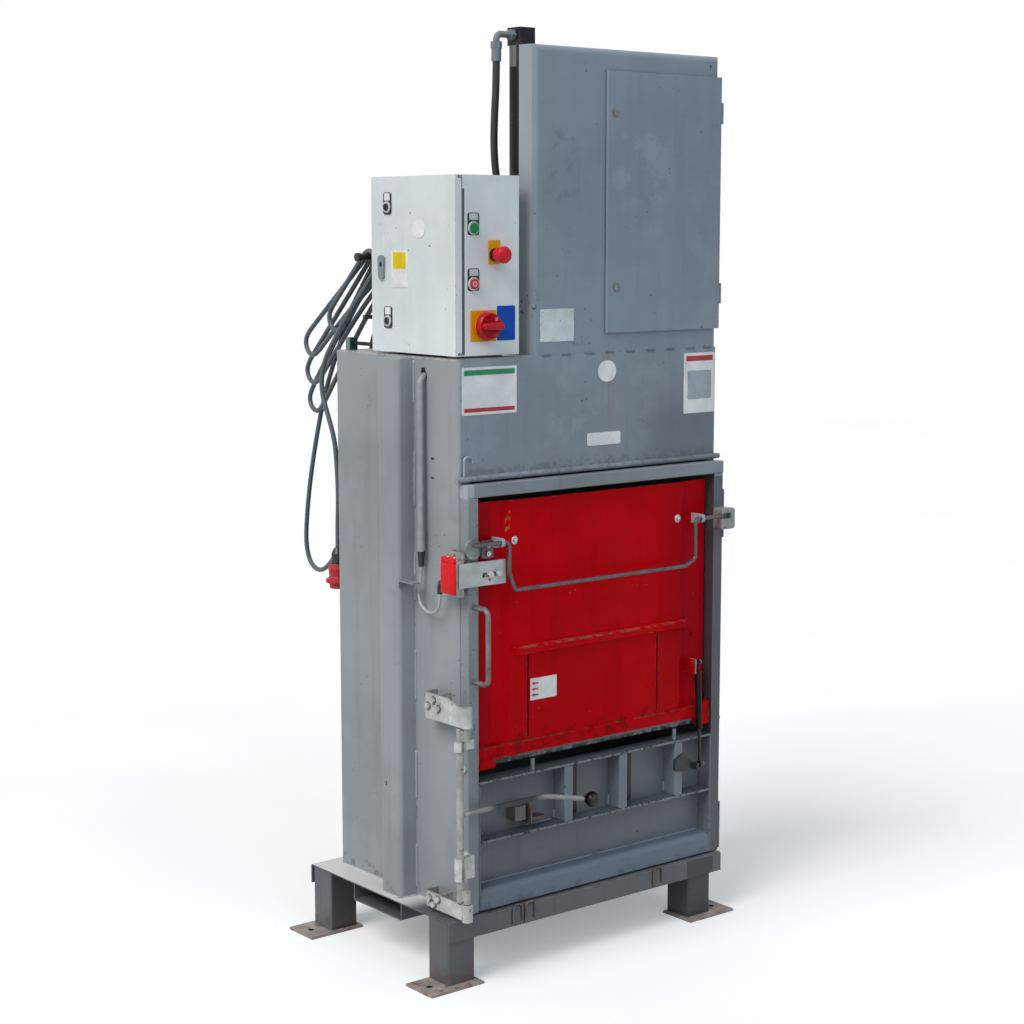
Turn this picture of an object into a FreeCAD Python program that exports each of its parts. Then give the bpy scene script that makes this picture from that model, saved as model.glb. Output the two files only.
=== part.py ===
import FreeCAD, Part
import math
import os

os.makedirs("parts", exist_ok=True)
V = FreeCAD.Vector

# Vertical baling press. Millimetres, +Z up, X to the right along the front,
# the front faces -Y. The feet stand on z = 0.

# ---- clearances ---------------------------------------------------------
seat = 0.3            # rest gap between pieces that only lie on each other
fit = 0.06            # radial running fit of pins and shafts
gap = 2.0             # gap between a closed door and its frame
# ---- base ---------------------------------------------------------------
foot_t, foot_w, foot_d, foot_hole = 6.0, 150.0, 100.0, 13.0
foot_edge = 30.0      # anchor hole to the outer end of a foot plate
leg = 77.0            # square leg
span_x = 954.0        # over the foot plates
foot_y0, foot_y1 = -258.0, 332.0
base_z = 157.0        # upper face of the tray
tray_x0, tray_x1 = -414.0, 447.0
tray_y0, tray_y1 = -240.0, 328.0
loop_d, loop_w, loop_h = 5.0, 28.0, 43.0   # wire hoops on the front edge
loop_xs = (-229.0, -192.0, 214.0)
tray_lip, sheet = 48.0, 4.0
fork_w, fork_h, fork_y = 197.0, 43.0, 48.5
# ---- body ---------------------------------------------------------------
left, body_w = -350.0, 800.0
front, body_d = -197.0, 479.0
body_h = 1273.0       # tray to the top of the top plate
jamb = 28.0           # folded front return of the side walls
bend = 8.0            # outer bend radius of the walls
collar_z = 1157.0
post_w, post_out, post_y = 80.0, 49.0, 9.0
floor_z = 200.0
# ---- tower, cylinder, power unit ------------------------------------------
tower_x0, tower_h, tower_depth, tower_bend = -132.0, 699.0, 55.0, 15.0
cover_t = 3.0
cyl_x, cyl_y, cyl_d, cyl_bore, cyl_h = 42.0, 64.0, 57.0, 46.0, 720.0
cap_w, cap_h = 50.0, 42.0
rod_d, stroke = 30.0, 650.0
platen_t = 60.0
hatch_in, hatch_z0, hatch_z1, hatch_t = 368.0, 1476.0, 2079.0, 6.0
tank_in, tank_w, tank_d, tank_h = 338.0, 300.0, 200.0, 170.0
# ---- control box ------------------------------------------------------------
cab_x1, cab_w, cab_door = -169.0, 180.0, 18.0
cab_y0, cab_d = -188.0, 323.0
cab_z0, cab_h, cab_t = 1436.0, 400.0, 1.5
# ---- door ---------------------------------------------------------------------
tube = 30.0           # square tube of the door frame
door_z0, door_z1 = 160.0, 1151.0
panel_in = 42.0       # lower panel set back from the frame's front
skin = 4.0
rib_t, rib_z, sill_h = 6.0, 320.0, 52.0
lower_top = 466.0
hinge_out, hinge_r, pin_r = 10.0, 9.0, 5.0
hinge_len, knuckle = 120.0, 40.0
hinge_zs = (165.0, 960.0)
handle_d, handle_out, handle_z0, handle_z1 = 12.0, 58.0, 703.0, 875.0
# ---- flap, bail, strut ---------------------------------------------------------
flap_gap = 5.0
flap_z0, flap_z1, flap_t = 511.0, 1106.0, 3.0
raise_y = 10.0        # raised middle of the flap
flap_axis_y, flap_axis_z = -214.0, 500.0
barrel_r = 11.0
slot_w, slot_z0, slot_z1 = 6.0, 548.0, 742.0
slot_xs = (-161.0, 246.0)
bail_d, bail_y, bail_z, bail_drop = 10.0, -251.0, 1018.0, 112.0
bail_in, bail_out = 65.0, 80.0   # flap edges to the bail's uprights
strut_in, strut_d, strut_rod_d, strut_bore = 43.0, 16.0, 8.0, 14.0
strut_rod_l = 140.0    # rod, from its far eye to its end in the tube
strut_up = (-226.0, 653.5)
strut_low = (-240.0, 398.0)
# ---- lock crank ----------------------------------------------------------------
crank_x, crank_y, crank_r = -389.0, -250.0, 8.5
crank_z0, crank_z1 = 204.5, 609.0
eye_x, eye_y, eye_r = -384.0, -269.5, 12.5
lock_pin_r, lock_pin_h = 8.0, 29.0
lever_d, lever_z, ball_r = 12.5, 408.0, 18.0
strap_t, strap_out = 6.0, 44.0
strap_zs = ((166.0, 200.0), (612.0, 670.0))
# ---- cable ---------------------------------------------------------------------
cable_d = 12.0
turn_r, pitch = 28.0, 13.4
hook_out, hook_z, hook_d = 37.0, 1652.0, 16.0   # hook behind the control box
flex_d = 6.5
hose_d = 18.0

# ---- derived --------------------------------------------------------------------
right = left + body_w
rear = front + body_d
hatch_x0, tank_x0 = right - hatch_in, right - tank_in
top = base_z + body_h
under = base_z - sheet
tower_top = top + tower_h
cab_x0 = cab_x1 - cab_w
cab_y1 = cab_y0 + cab_d
hook_y = cab_y1 + hook_out
cab_z1 = cab_z0 + cab_h
door_back = front - gap
door_front = door_back - tube
d_left, d_right = left + 2.0, right - 2.0
in_left, in_right = d_left + tube, d_right - tube
panel_y = door_front + panel_in
flap_x0, flap_x1 = in_left + flap_gap, in_right - flap_gap
bail_x0, bail_x1 = flap_x0 + bail_in, flap_x1 - bail_out
strut_x = flap_x1 - strut_in
flap_y = door_front + 26.0
flap_mid = flap_y - raise_y
hinge_x, hinge_y = right + hinge_out, front + 7.0
nodes = {}


# ---- drawing helpers --------------------------------------------------------------
def at(plane, a, b, c):
    if plane == "xy":
        return V(a, b, c)
    return V(c, a, b) if plane == "yz" else V(a, c, b)


NORMAL = {"xy": V(0, 0, 1), "yz": V(1, 0, 0), "xz": V(0, 1, 0)}


def corner(prev, cur, nxt, r):
    u, w = (prev - cur).normalize(), (nxt - cur).normalize()
    half = u.getAngle(w) / 2
    reach = r / math.tan(half)
    mid = cur + (u + w).normalize() * (r / math.sin(half) - r)
    return cur + u * reach, mid, cur + w * reach


def outline(plane, pts, c):
    flat = [V(p[0], p[1], 0) for p in pts]
    ends, edges = [], []
    for i, p in enumerate(pts):
        if len(p) > 2 and p[2] > 0.01:
            ends.append(corner(flat[i - 1], flat[i], flat[(i + 1) % len(pts)], p[2]))
        else:
            ends.append((flat[i], None, flat[i]))
    for i, (s, m, e) in enumerate(ends):
        q = [None if v is None else at(plane, v.x, v.y, c) for v in (s, m, e)]
        if m is not None:
            edges.append(Part.Arc(q[0], q[1], q[2]).toShape())
        n = ends[(i + 1) % len(ends)][0]
        n = at(plane, n.x, n.y, c)
        if q[2].distanceToPoint(n) > 1e-5:
            edges.append(Part.makeLine(q[2], n))
    return Part.Wire(edges)


def prism(plane, pts, lo, hi):
    return Part.Face(outline(plane, pts, lo)).extrude(NORMAL[plane] * (hi - lo))


def sheet_metal(plane, pts, t, r, lo, hi):
    """Folded sheet: pts is one face, the thickness lies to its left."""
    p = [V(q[0], q[1], 0) for q in pts]
    d = [(p[i + 1] - p[i]).normalize() for i in range(len(p) - 1)]
    n = [V(-k.y, k.x, 0) for k in d]
    face, back = [], []
    for i in range(len(p)):
        if i in (0, len(p) - 1):
            k = n[0] if i == 0 else n[-1]
            face.append((p[i].x, p[i].y))
            back.append((p[i].x + k.x * t, p[i].y + k.y * t))
            continue
        m = (n[i - 1] + n[i]) * (t / (1 + n[i - 1].dot(n[i])))
        inside = d[i - 1].cross(d[i]).z > 0
        face.append((p[i].x, p[i].y, r if inside else max(r - t, 0.4)))
        back.append((p[i].x + m.x, p[i].y + m.y, max(r - t, 0.4) if inside else r))
    return prism(plane, face + back[::-1], lo, hi)


def box(x, y, z):
    return Part.makeBox(x[1] - x[0], y[1] - y[0], z[1] - z[0], V(x[0], y[0], z[0]))


def rod(p, q, r):
    p, q = V(*p), V(*q)
    return Part.makeCylinder(r, (q - p).Length, p, q - p)


def cone(p, q, r0, r1):
    p, q = V(*p), V(*q)
    return Part.makeCone(r0, r1, (q - p).Length, p, q - p)


def ring(p, q, r, bore):
    return rod(p, q, r).cut(rod(p, q, bore))


def hexagon(p, q, across):
    """Hexagon prism from p to q, for nuts and bolt heads."""
    p, q = V(*p), V(*q)
    d = (q - p).normalize()
    u = d.cross(V(0.0, 0.0, 1.0) if abs(d.z) < 0.9 else V(1, 0, 0)).normalize()
    w, r = d.cross(u), across / math.sqrt(3)
    ang = [math.radians(60 * i) for i in range(7)]
    pts = [p + u * (r * math.cos(a)) + w * (r * math.sin(a)) for a in ang]
    face = Part.Face(Part.makePolygon(pts[:6] + [pts[0]]))
    return face.extrude(q - p)


def way(pts, radius=None, share=0.45):
    """Straight runs joined by tangent arcs; returns the wire and its radii."""
    p = [V(*q) for q in pts]
    edges, last, radii = [], p[0], []
    for i in range(1, len(p) - 1):
        a, b = p[i - 1] - p[i], p[i + 1] - p[i]
        half = a.getAngle(b) / 2
        r = radius or share * min(a.Length, b.Length) * math.tan(half)
        s, m, e = corner(p[i - 1], p[i], p[i + 1], r)
        if last.distanceToPoint(s) > 1e-5:
            edges.append(Part.LineSegment(last, s).toShape())
        edges.append(Part.Arc(s, m, e).toShape())
        last, radii = e, radii + [r]
    edges.append(Part.LineSegment(last, p[-1]).toShape())
    return Part.Wire(edges), radii


def swept(wire, d):
    p0 = wire.OrderedVertexes[0].Point
    d0 = wire.OrderedEdges[0].tangentAt(wire.OrderedEdges[0].FirstParameter)
    if wire.OrderedEdges[0].valueAt(wire.OrderedEdges[0].FirstParameter).distanceToPoint(p0) > 1e-4:
        d0 = d0 * -1
    profile = Part.Wire(Part.Circle(p0, d0, d / 2).toShape())
    return wire.makePipeShell([profile], True, False)


def bent(pts, d, radius):
    return swept(way(pts, radius)[0], d)


def cord(name, pts, d):
    wire, radii = way(pts)
    solid = swept(wire, d)
    want = math.pi * d * d / 4 * wire.Length
    print("%s: length %.0f, least radius %.1f, radii %s, volume/section*length %.4f" % (
        name, wire.Length, min(radii), [round(r) for r in radii], solid.Volume / want))
    put(name, solid)


def fuse(*parts):
    s = parts[0].fuse(list(parts[1:]))
    return s.removeSplitter()


def put(name, *solids):
    nodes.setdefault(name, []).extend(solids)


# ---- base --------------------------------------------------------------------------
put("base_tray", sheet_metal(
    "yz", [(tray_y0, base_z - tray_lip), (tray_y0, base_z), (tray_y1, base_z),
           (tray_y1, base_z - tray_lip)][::-1], sheet, sheet + 2, tray_x0, tray_x1))
half = span_x / 2
foot_x = (-half, half - foot_w)
foot_ys = (foot_y0, foot_y1 - foot_d)
leg_ys = (tray_y0 + sheet + 2, foot_y1 - foot_d / 2 - leg / 2)
legs, feet = [], []
for i, x in enumerate(foot_x):
    hole_x = x + foot_edge if i == 0 else x + foot_w - foot_edge
    lx = tray_x0 + gap if i == 0 else tray_x1 - 31 - leg
    for j, y in enumerate(foot_ys):
        ly = leg_ys[j]
        legs.append(prism("xy", [(lx, ly, 6), (lx + leg, ly, 6), (lx + leg, ly + leg, 6),
                                 (lx, ly + leg, 6)], foot_t, under))
        plate = box((x, x + foot_w), (y, y + foot_d), (0, foot_t))
        hy = y + foot_d / 2
        feet.append(plate.cut(rod((hole_x, hy, -1), (hole_x, hy, foot_t + 1), foot_hole / 2)))
put("legs", *legs)
put("foot_plates", *feet)
fy0, fy1 = fork_y - fork_w / 2, fork_y + fork_w / 2
put("base_tray", sheet_metal(
    "yz", [(fy0, under), (fy0, under - fork_h), (fy1, under - fork_h), (fy1, under)],
    sheet, sheet + 2, tray_x0 + 4, tray_x1 - 4))
loops = []
for x0 in loop_xs:
    y, z0, z1 = tray_y0 - loop_d / 2 - fit, base_z - loop_h, base_z + 4
    loops.append(bent([(x0, y, z0), (x0, y, z1), (x0 + loop_w, y, z1), (x0 + loop_w, y, z0 + 5)],
                      loop_d, loop_w / 2 - 1.5))
put("wire_loops", *loops)

# ---- body shell -----------------------------------------------------------------------
wall_top = top - sheet
hole_y, hole_z = -70.0, top - 43.0
w = sheet_metal("xy", [(left + jamb, front), (left, front), (left, rear)][::-1],
                sheet, bend, base_z, wall_top)
w = w.cut(box((left + bend, left + jamb + 1), (front - 1, front + sheet + 1), (collar_z, top)))
w = w.cut(rod((left - 1, hole_y, hole_z), (left + sheet + 1, hole_y, hole_z), 12.0))
put("wall_left", w)
w = sheet_metal("xy", [(right - jamb, front), (right, front), (right, rear)],
                sheet, bend, base_z, wall_top)
w = w.cut(box((right - jamb - 1, right - bend), (front - 1, front + sheet + 1), (collar_z, top)))
put("chamber_walls", w)
put("chamber_walls", box((left + sheet, right - sheet), (rear - sheet, rear), (base_z, wall_top)))
floor_y = panel_y + skin + gap
floor = sheet_metal("yz", [(floor_y, base_z), (floor_y, floor_z),
                           (rear - sheet, floor_z)][::-1], sheet, sheet + 2,
                    left + sheet, right - sheet)
put("chamber_walls", floor)
py0, py1 = post_y - post_w / 2, post_y + post_w / 2
put("side_post", prism("xy", [(left, py0), (left - post_out, py0, 12), (left - post_out, py1, 12),
                              (left, py1)], base_z, top - 5))
lid = box((left, right), (front + sheet, rear), (wall_top, top))
lid = lid.cut(rod((cyl_x, cyl_y, wall_top - 1), (cyl_x, cyl_y, top + 1), rod_d / 2 + 5))
put("top_plate", lid)
lip_r = 6.5
lip = prism("yz", [(front, collar_z - 2), (front - 15, collar_z - 2, lip_r),
                   (front - 15, collar_z + 11, lip_r - 0.3), (front, collar_z + 11)],
            left - 12, right + 2)
collar = box((left + bend, right - bend), (front, front + sheet), (collar_z, top))
put("collar", collar)
put("collar", lip.cut(box((left - 13, left - 0.0), (front - 4, front + 1),
                              (collar_z - 3, collar_z + 12))))
hx, hy, hz = left + 10, front - 7.5, collar_z + 11
put("wire_loops", bent([(hx, hy, hz), (hx, hy, hz + 44), (hx + 24, hy, hz + 44),
                         (hx + 24, hy, hz + 29)], 5.0, 9.0))

# ---- tower cover and its hatch ------------------------------------------------------------
outer = box((tower_x0, right - 1), (front, front + tower_depth), (top, tower_top))
inner = box((tower_x0 + cover_t, right - 1 - cover_t),
            (front + cover_t, front + tower_depth + 1), (top - 1, tower_top - cover_t))


def soften(s, r, y, zt, xs):
    pick = []
    for e in s.Edges:
        c = e.CenterOfMass
        if abs(c.y - y) < 0.01 and (abs(c.z - zt) < 0.01 or min(abs(c.x - x) for x in xs) < 0.01):
            if c.z > top - 0.5 or e.Length > tower_h - 30:
                pick.append(e)
    return s.makeFillet(r, [e for e in pick if not (abs(e.CenterOfMass.z - top) < 2)])


outer = soften(outer, tower_bend, front, tower_top, (tower_x0, right - 1))
inner = soften(inner, tower_bend - cover_t, front + cover_t, tower_top - cover_t,
               (tower_x0 + cover_t, right - 1 - cover_t))
cover = outer.cut(inner)
win = (hatch_x0 + 14, right - 22, hatch_z0 + 24, hatch_z1 - 24)
cover = cover.cut(box((win[0], win[1]), (front - 1, front + cover_t + 1), (win[2], win[3])))
cover = cover.cut(box((right - 36, right - 28), (front - 1, front + cover_t + 1),
                      (tower_top - 30, tower_top - 22)))
put("tower_cover", cover)
hh_x, hh_y = right + 5.5, front - 2.0
hatch_back = front - gap
pan = sheet_metal("xy", [(hatch_x0, hatch_back), (hatch_x0, hatch_back - hatch_t),
                         (right, hatch_back - hatch_t), (right, hatch_back)],
                  2.0, 3.0, hatch_z0, hatch_z1)
pan = pan.cut(box((hatch_x0 - 1, right + 1), (hatch_back - 0.01, hatch_back + 1),
                  (hatch_z0 - 1, hatch_z1 + 1)))
lock_zs = (hatch_z0 + 106, hatch_z1 - 94)
lock_xs = (hatch_x0 + 29, hatch_x0 + 24)
for x, z in zip(lock_xs, lock_zs):
    pan = pan.cut(rod((x, hatch_back - 9, z), (x, hatch_back, z), 8.0 + fit))
leafs, pins = [], []
for z in (hatch_z0 + 60, hatch_z1 - 110):
    leafs.append(fuse(
        ring((hh_x, hh_y, z + 25.4), (hh_x, hh_y, z + 50), 4.0, 2.0 + fit),
        box((right, hh_x - 1.5), (hatch_back - hatch_t + 0.6, hh_y - 2.6), (z + 25.4, z + 50))
        .cut(rod((hh_x, hh_y, z), (hh_x, hh_y, z + 60), 3.0))))
    pins.append(fuse(rod((hh_x, hh_y, z), (hh_x, hh_y, z + 50), 2.0),
                     rod((hh_x, hh_y, z), (hh_x, hh_y, z + 25), 4.0),
                     prism("xy", [(right - 1, front + 16), (right - 1, front + 40),
                                  (right + 1.5, front + 40), (right + 1.5, front + 10),
                                  (hh_x, hh_y + 3.9), (hh_x - 3, hh_y), (right, front + 8)],
                           z, z + 25)))
put("service_door", pan)
put("service_door", *leafs)
put("fixed_hinges", *pins)
for tag, x, z in (("low", lock_xs[0], lock_zs[0]), ("high", lock_xs[1], lock_zs[1])):
    y = hatch_back - hatch_t
    body = fuse(rod((x, y - 2, z), (x, y, z), 10.0), rod((x, y, z), (x, front + 6, z), 8.0),
                box((x - 4, x + 9), (front + 6, front + 9), (z - 5, z + 5)))
    put("lock_" + tag, body.cut(box((x - 7, x + 7), (y - 3, y - 1), (z - 1.2, z + 1.2))))

# ---- cylinder, ram, power unit ---------------------------------------------------------------
cyl_top = top + cyl_h
bore_r = cyl_bore / 2
barrel = rod((cyl_x, cyl_y, top), (cyl_x, cyl_y, cyl_top), cyl_d / 2)
flange = prism("xy", [(cyl_x + sx * 55, cyl_y + sy * 55, 10) for sx, sy in
                      ((-1, -1), (1, -1), (1, 1), (-1, 1))], top, top + 14)
barrel = fuse(barrel, flange)
barrel = barrel.cut(rod((cyl_x, cyl_y, top + 30), (cyl_x, cyl_y, cyl_top + 1), bore_r))
barrel = barrel.cut(rod((cyl_x, cyl_y, top - 1), (cyl_x, cyl_y, top + 31), rod_d / 2 + fit))
put("cylinder", barrel)
put("cylinder", *[fuse(
    hexagon((cyl_x + sx * 42, cyl_y + sy * 42, top + 14),
            (cyl_x + sx * 42, cyl_y + sy * 42, top + 22), 17.0))
    for sx in (-1, 1) for sy in (-1, 1)])
cap = prism("xy", [(cyl_x + sx * cap_w / 2, cyl_y + sy * cap_w / 2, 5) for sx, sy in
                   ((-1, -1), (1, -1), (1, 1), (-1, 1))], cyl_top, cyl_top + cap_h)
put("cylinder", cap)
ez = cyl_top + cap_h / 2 + 3
ex0, ex1 = cyl_x - cap_w / 2, cyl_x - 76
elbow = fuse(hexagon((ex0, cyl_y, ez), (ex0 - 12, cyl_y, ez), 24.0),
             bent([(ex0 - 12, cyl_y, ez), (ex1, cyl_y, ez), (ex1, cyl_y, ez - 20)], 16.0, 14.0),
             hexagon((ex1, cyl_y, ez - 18), (ex1, cyl_y, ez - 34), 24.0))
ferrule_z = ez - 34
put("cylinder", elbow, ring((ex1, cyl_y, ferrule_z), (ex1, cyl_y, ferrule_z - 30), 12.0, 9.2)
    .fuse(rod((ex1, cyl_y, ferrule_z), (ex1, cyl_y, ferrule_z - 4), 10)).removeSplitter())
pump_x, pump_y, pump_z = tank_x0 + 46, -10.0, top + tank_h + 6
valve = (pump_x - 30, pump_y, pump_z + 65)
hose_pts = [(ex1, cyl_y, ferrule_z - 4), (ex1, cyl_y, ferrule_z - 74),
            (ex1 - 6, cyl_y, ferrule_z - 160), (ex1 - 8, cyl_y, ferrule_z - 235),
            (ex1 - 2, cyl_y - 2, ferrule_z - 305),
            (ex1 + 9, cyl_y - 14, ferrule_z - 370), (ex1 + 32, cyl_y - 48, valve[2] + 15),
            (ex1 + 75, pump_y, valve[2]), (valve[0] - 30, pump_y, valve[2])]
hose, hose_r = way(hose_pts)
print("hose length %.0f, radii %s" % (hose.Length, [round(r) for r in hose_r]))
put("hydraulic_hose", swept(hose, hose_d))
p_top = collar_z + 75
pist = fuse(rod((cyl_x, cyl_y, p_top), (cyl_x, cyl_y, cyl_top - 36), rod_d / 2),
            rod((cyl_x, cyl_y, cyl_top - 36), (cyl_x, cyl_y, cyl_top - 10), bore_r - fit))
put("ram", pist)
px0, px1 = left + sheet + 11, right - sheet - 11
plat = sheet_metal("yz", [(front + 17, p_top - 4), (front + 17, p_top - platen_t),
                          (rear - sheet - 8, p_top - platen_t), (rear - sheet - 8, p_top - 4)],
                   6.0, 9.0, px0, px1)
pad = box((cyl_x - 60, cyl_x + 60), (cyl_y - 60, cyl_y + 60), (p_top - platen_t + 6, p_top))
webs = [box((x, x + 6), (front + 23, rear - sheet - 14), (p_top - platen_t + 6, p_top - 6))
        for x in (px0 + 10, cyl_x - 190, cyl_x + 184, px1 - 16)]
put("ram", plat, pad, *webs)
tx0, tx1, ty0 = tank_x0, tank_x0 + tank_w, -110.0
tank = prism("xy", [(tx0, ty0, 12), (tx1, ty0, 12), (tx1, ty0 + tank_d, 12),
                    (tx0, ty0 + tank_d, 12)], top, top + tank_h)
tlid = box((tx0 - 6, tx1 + 6), (ty0 - 6, ty0 + tank_d + 6), (top + tank_h, pump_z))
put("power_unit", tank, tlid, ring((tx1 - 40, ty0 + 160, pump_z), (tx1 - 40, ty0 + 160, pump_z + 20), 16, 5),
    rod((tx1 - 40, ty0 + 160, pump_z + 20), (tx1 - 40, ty0 + 160, pump_z + 34), 22))
mx, my, mr = tx1 - 105, -10.0, 66.0
fins = [box((mx - mr - 5, mx + mr + 5), (my - 2, my + 2), (pump_z + 24, pump_z + 170))
        .rotate(V(mx, my, 0), V(0, 0, 1), a) for a in range(0, 180, 30)]
motor = fuse(rod((mx, my, pump_z), (mx, my, pump_z + 14), mr + 14),
             rod((mx, my, pump_z + 14), (mx, my, pump_z + 180), mr), *fins)
put("power_unit", motor, cone((mx, my, pump_z + 180), (mx, my, pump_z + 222), mr + 6, mr - 4),
    box((mx - 45, mx + 45), (my + mr + 5, my + mr + 45), (pump_z + 60, pump_z + 140)))
vb = fuse(box((pump_x - 30, pump_x + 30), (pump_y - 35, pump_y + 35), (pump_z, pump_z + 95)),
          rod((pump_x, pump_y - 35, pump_z + 60), (pump_x, pump_y - 90, pump_z + 60), 17.0),
          hexagon((pump_x, pump_y, pump_z + 95), (pump_x, pump_y, pump_z + 112), 22.0),
          hexagon(valve, (valve[0] - 16, valve[1], valve[2]), 24.0))
put("power_unit", vb, ring((valve[0] - 16, pump_y, valve[2]), (valve[0] - 44, pump_y, valve[2]),
                            12.0, 9.2).fuse(rod((valve[0] - 16, pump_y, valve[2]),
                                                (valve[0] - 30, pump_y, valve[2]), 10)).removeSplitter())

# ---- control box --------------------------------------------------------------------------------
seam = cab_x0 + cab_door
bx0 = seam + gap
shell = box((bx0, cab_x1), (cab_y0, cab_y1), (cab_z0, cab_z1))
shell = shell.cut(box((bx0 - 1, cab_x1 - cab_t), (cab_y0 + cab_t, cab_y1 - cab_t),
                      (cab_z0 + cab_t, cab_z1 - cab_t)))
btn_x = cab_x0 + 48.5
green_z, red_z = cab_z0 + 283, cab_z0 + 160
stop_x, stop_z = cab_x0 + 108, cab_z0 + 224
main_x, main_z = cab_x0 + 80, cab_z0 + 66
btn_r, stop_r = 11.5, 20.0
for x, z, r in ((btn_x, green_z, btn_r + 1), (btn_x, red_z, btn_r + 1), (stop_x, stop_z, 10.5),
                (main_x, main_z, 7.5)):
    shell = shell.cut(rod((x, cab_y0 - 1, z), (x, cab_y0 + 3, z), r))
put("control_box", shell)
cpx, cpy = seam - 3.5, cab_y0 + 4.5
door = box((cab_x0, seam), (cab_y0 + 1, cab_y1 - 1), (cab_z0, cab_z1))
door = door.cut(box((cab_x0 + cab_t, seam + 1), (cab_y0 + 1 + cab_t, cab_y1 - 1 - cab_t),
                    (cab_z0 + cab_t, cab_z1 - cab_t)))
ears = []
for s, z in ((1, cab_z0), (-1, cab_z1)):
    z0, z1 = sorted((z + s * 3.0, z + s * 6.0))
    door = door.cut(box((cpx - 7, seam + 1), (cab_y0, cab_y0 + 1 + cab_t + 0.6), (z0 - 1.2, z1 + 1.2)))
    door = door.cut(rod((cpx, cpy, z - s), (cpx, cpy, z + s * 2), 1.5 + fit))
    ears.append(fuse(box((cpx - 3, bx0), (cpy - 2.5, cpy + 2.5), (z0, z1)),
                     box((bx0, bx0 + 14), (cab_y0 + cab_t, cpy + 2.5), (z0, z1)),
                     rod((cpx, cpy, z + s * 3.5), (cpx, cpy, z + s * 0.2), 1.5)))
put("box_fittings", *ears)
key_y, lock_y = cab_y1 - 67.0, cab_y1 - 44.0
key_zs = (cab_z0 + 71, cab_z0 + 331)
for z in key_zs:
    door = door.cut(rod((cab_x0 - 1, key_y, z), (cab_x0 + 3, key_y, z), 8.3))
lock_z = cab_z0 + 194
door = door.cut(rod((cab_x0 - 1, lock_y, lock_z + 6), (cab_x0 + 3, lock_y, lock_z + 6), 6.0 + fit))
put("control_door", door)
key_rings = []
for i, z in enumerate(key_zs):
    key_rings.append(ring((cab_x0, key_y, z), (cab_x0 - 5, key_y, z), 13.0, 8.2))
    turn = fuse(rod((cab_x0 - 8, key_y, z), (cab_x0 + 6, key_y, z), 8.0),
                box((cab_x0 - 10, cab_x0 - 8), (key_y - 2, key_y + 2), (z - 6.5, z + 6.5)))
    put("key_turn_%d" % (i + 1), turn)
put("control_door", *key_rings)
oval = [(lock_y + sy, lock_z + sz, 9) for sy, sz in ((-10, -28), (10, -28), (12, 27), (-12, 27))]
plate = prism("yz", oval, cab_x0 - 6, cab_x0)
plate = plate.cut(rod((cab_x0 - 7, lock_y, lock_z + 6), (cab_x0 + 1, lock_y, lock_z + 6), 6.0 + fit))
put("control_door", plate)
put("box_lock", fuse(rod((cab_x0 - 5.5, lock_y, lock_z + 6), (cab_x0 + 9, lock_y, lock_z + 6), 6.0),
                     box((cab_x0 + 9, cab_x0 + 12), (lock_y - 4, lock_y + 4), (lock_z - 14, lock_z + 10)))
    .cut(box((cab_x0 - 6, cab_x0 - 3.5), (lock_y - 1.2, lock_y + 1.2), (lock_z + 1, lock_z + 11))))
face = cab_y0


def legend(x, z0, z1, w_, t, r):
    return prism("xz", [(x - w_ / 2, z0, r), (x + w_ / 2, z0, r), (x + w_ / 2, z1, r),
                        (x - w_ / 2, z1, r)], face - t, face)


bez = [ring((btn_x, face - 5, z), (btn_x, face, z), 14.75, btn_r + fit) for z in (green_z, red_z)]
bez += [legend(btn_x + 1.5, z + 17, z + 33, 26, 1.5, 2) for z in (green_z, red_z)]
put("panel_plates", *bez)
for tag, z in (("green", green_z), ("red", red_z)):
    put("button_" + tag, rod((btn_x, face - 8, z), (btn_x, face + 2, z), btn_r))
plate = legend(stop_x, cab_z0 + 203, cab_z0 + 257, 34, 1.5, 3)
plate = fuse(plate, ring((stop_x, face - 7, stop_z), (stop_x, face, stop_z), 15, 9))
put("panel_plates", plate.cut(rod((stop_x, face - 8, stop_z), (stop_x, face + 1, stop_z), 9.5 + fit)))
head = Part.Face(outline("xy", [(0, -28), (14, -28, 4), (stop_r, -22, 3), (stop_r, -13, 2),
                                (9.5, -13), (9.5, 2), (0, 2)], 0))
head = head.revolve(V(0, 0, 0), V(0, 1, 0), 360)
head.translate(V(stop_x, face, stop_z))
put("stop_button", head)
plate = fuse(legend(main_x - 3, cab_z0 + 31, cab_z0 + 101, 73, 1.5, 4),
             ring((main_x, face - 6, main_z), (main_x, face, main_z), 27, 7))
put("panel_plates", plate.cut(rod((main_x, face - 7, main_z), (main_x, face + 1, main_z), 7 + fit)))
grip = prism("xz", [(main_x - 24, main_z - 7, 6), (main_x + 26, main_z - 8, 7),
                    (main_x + 26, main_z + 8, 7), (main_x - 24, main_z + 7, 6)],
             face - 28, face - 12)
put("main_switch", fuse(rod((main_x, face - 12, main_z), (main_x, face - 6.3, main_z), 22),
                        rod((main_x, face - 7, main_z), (main_x, face + 3, main_z), 7), grip))
put("panel_plates", legend(cab_x0 + 142, cab_z0 + 32, cab_z0 + 110, 52, 1.2, 3))
cab_in = cab_x1 - cab_t
mount = box((cab_in - 12, cab_in - 9), (cab_y0 + 25, cab_y1 - 25), (cab_z0 + 25, cab_z1 - 25))
spacers = [rod((cab_in - 9, y, z), (cab_in, y, z), 6) for y in (cab_y0 + 40, cab_y1 - 40)
           for z in (cab_z0 + 40, cab_z1 - 40)]
put("box_internals", mount, *spacers)
rail = [box((cab_in - 20, cab_in - 12), (cab_y0 + 45, cab_y1 - 45), (z, z + 35))
        for z in (cab_z0 + 120, cab_z0 + 255)]
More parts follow.
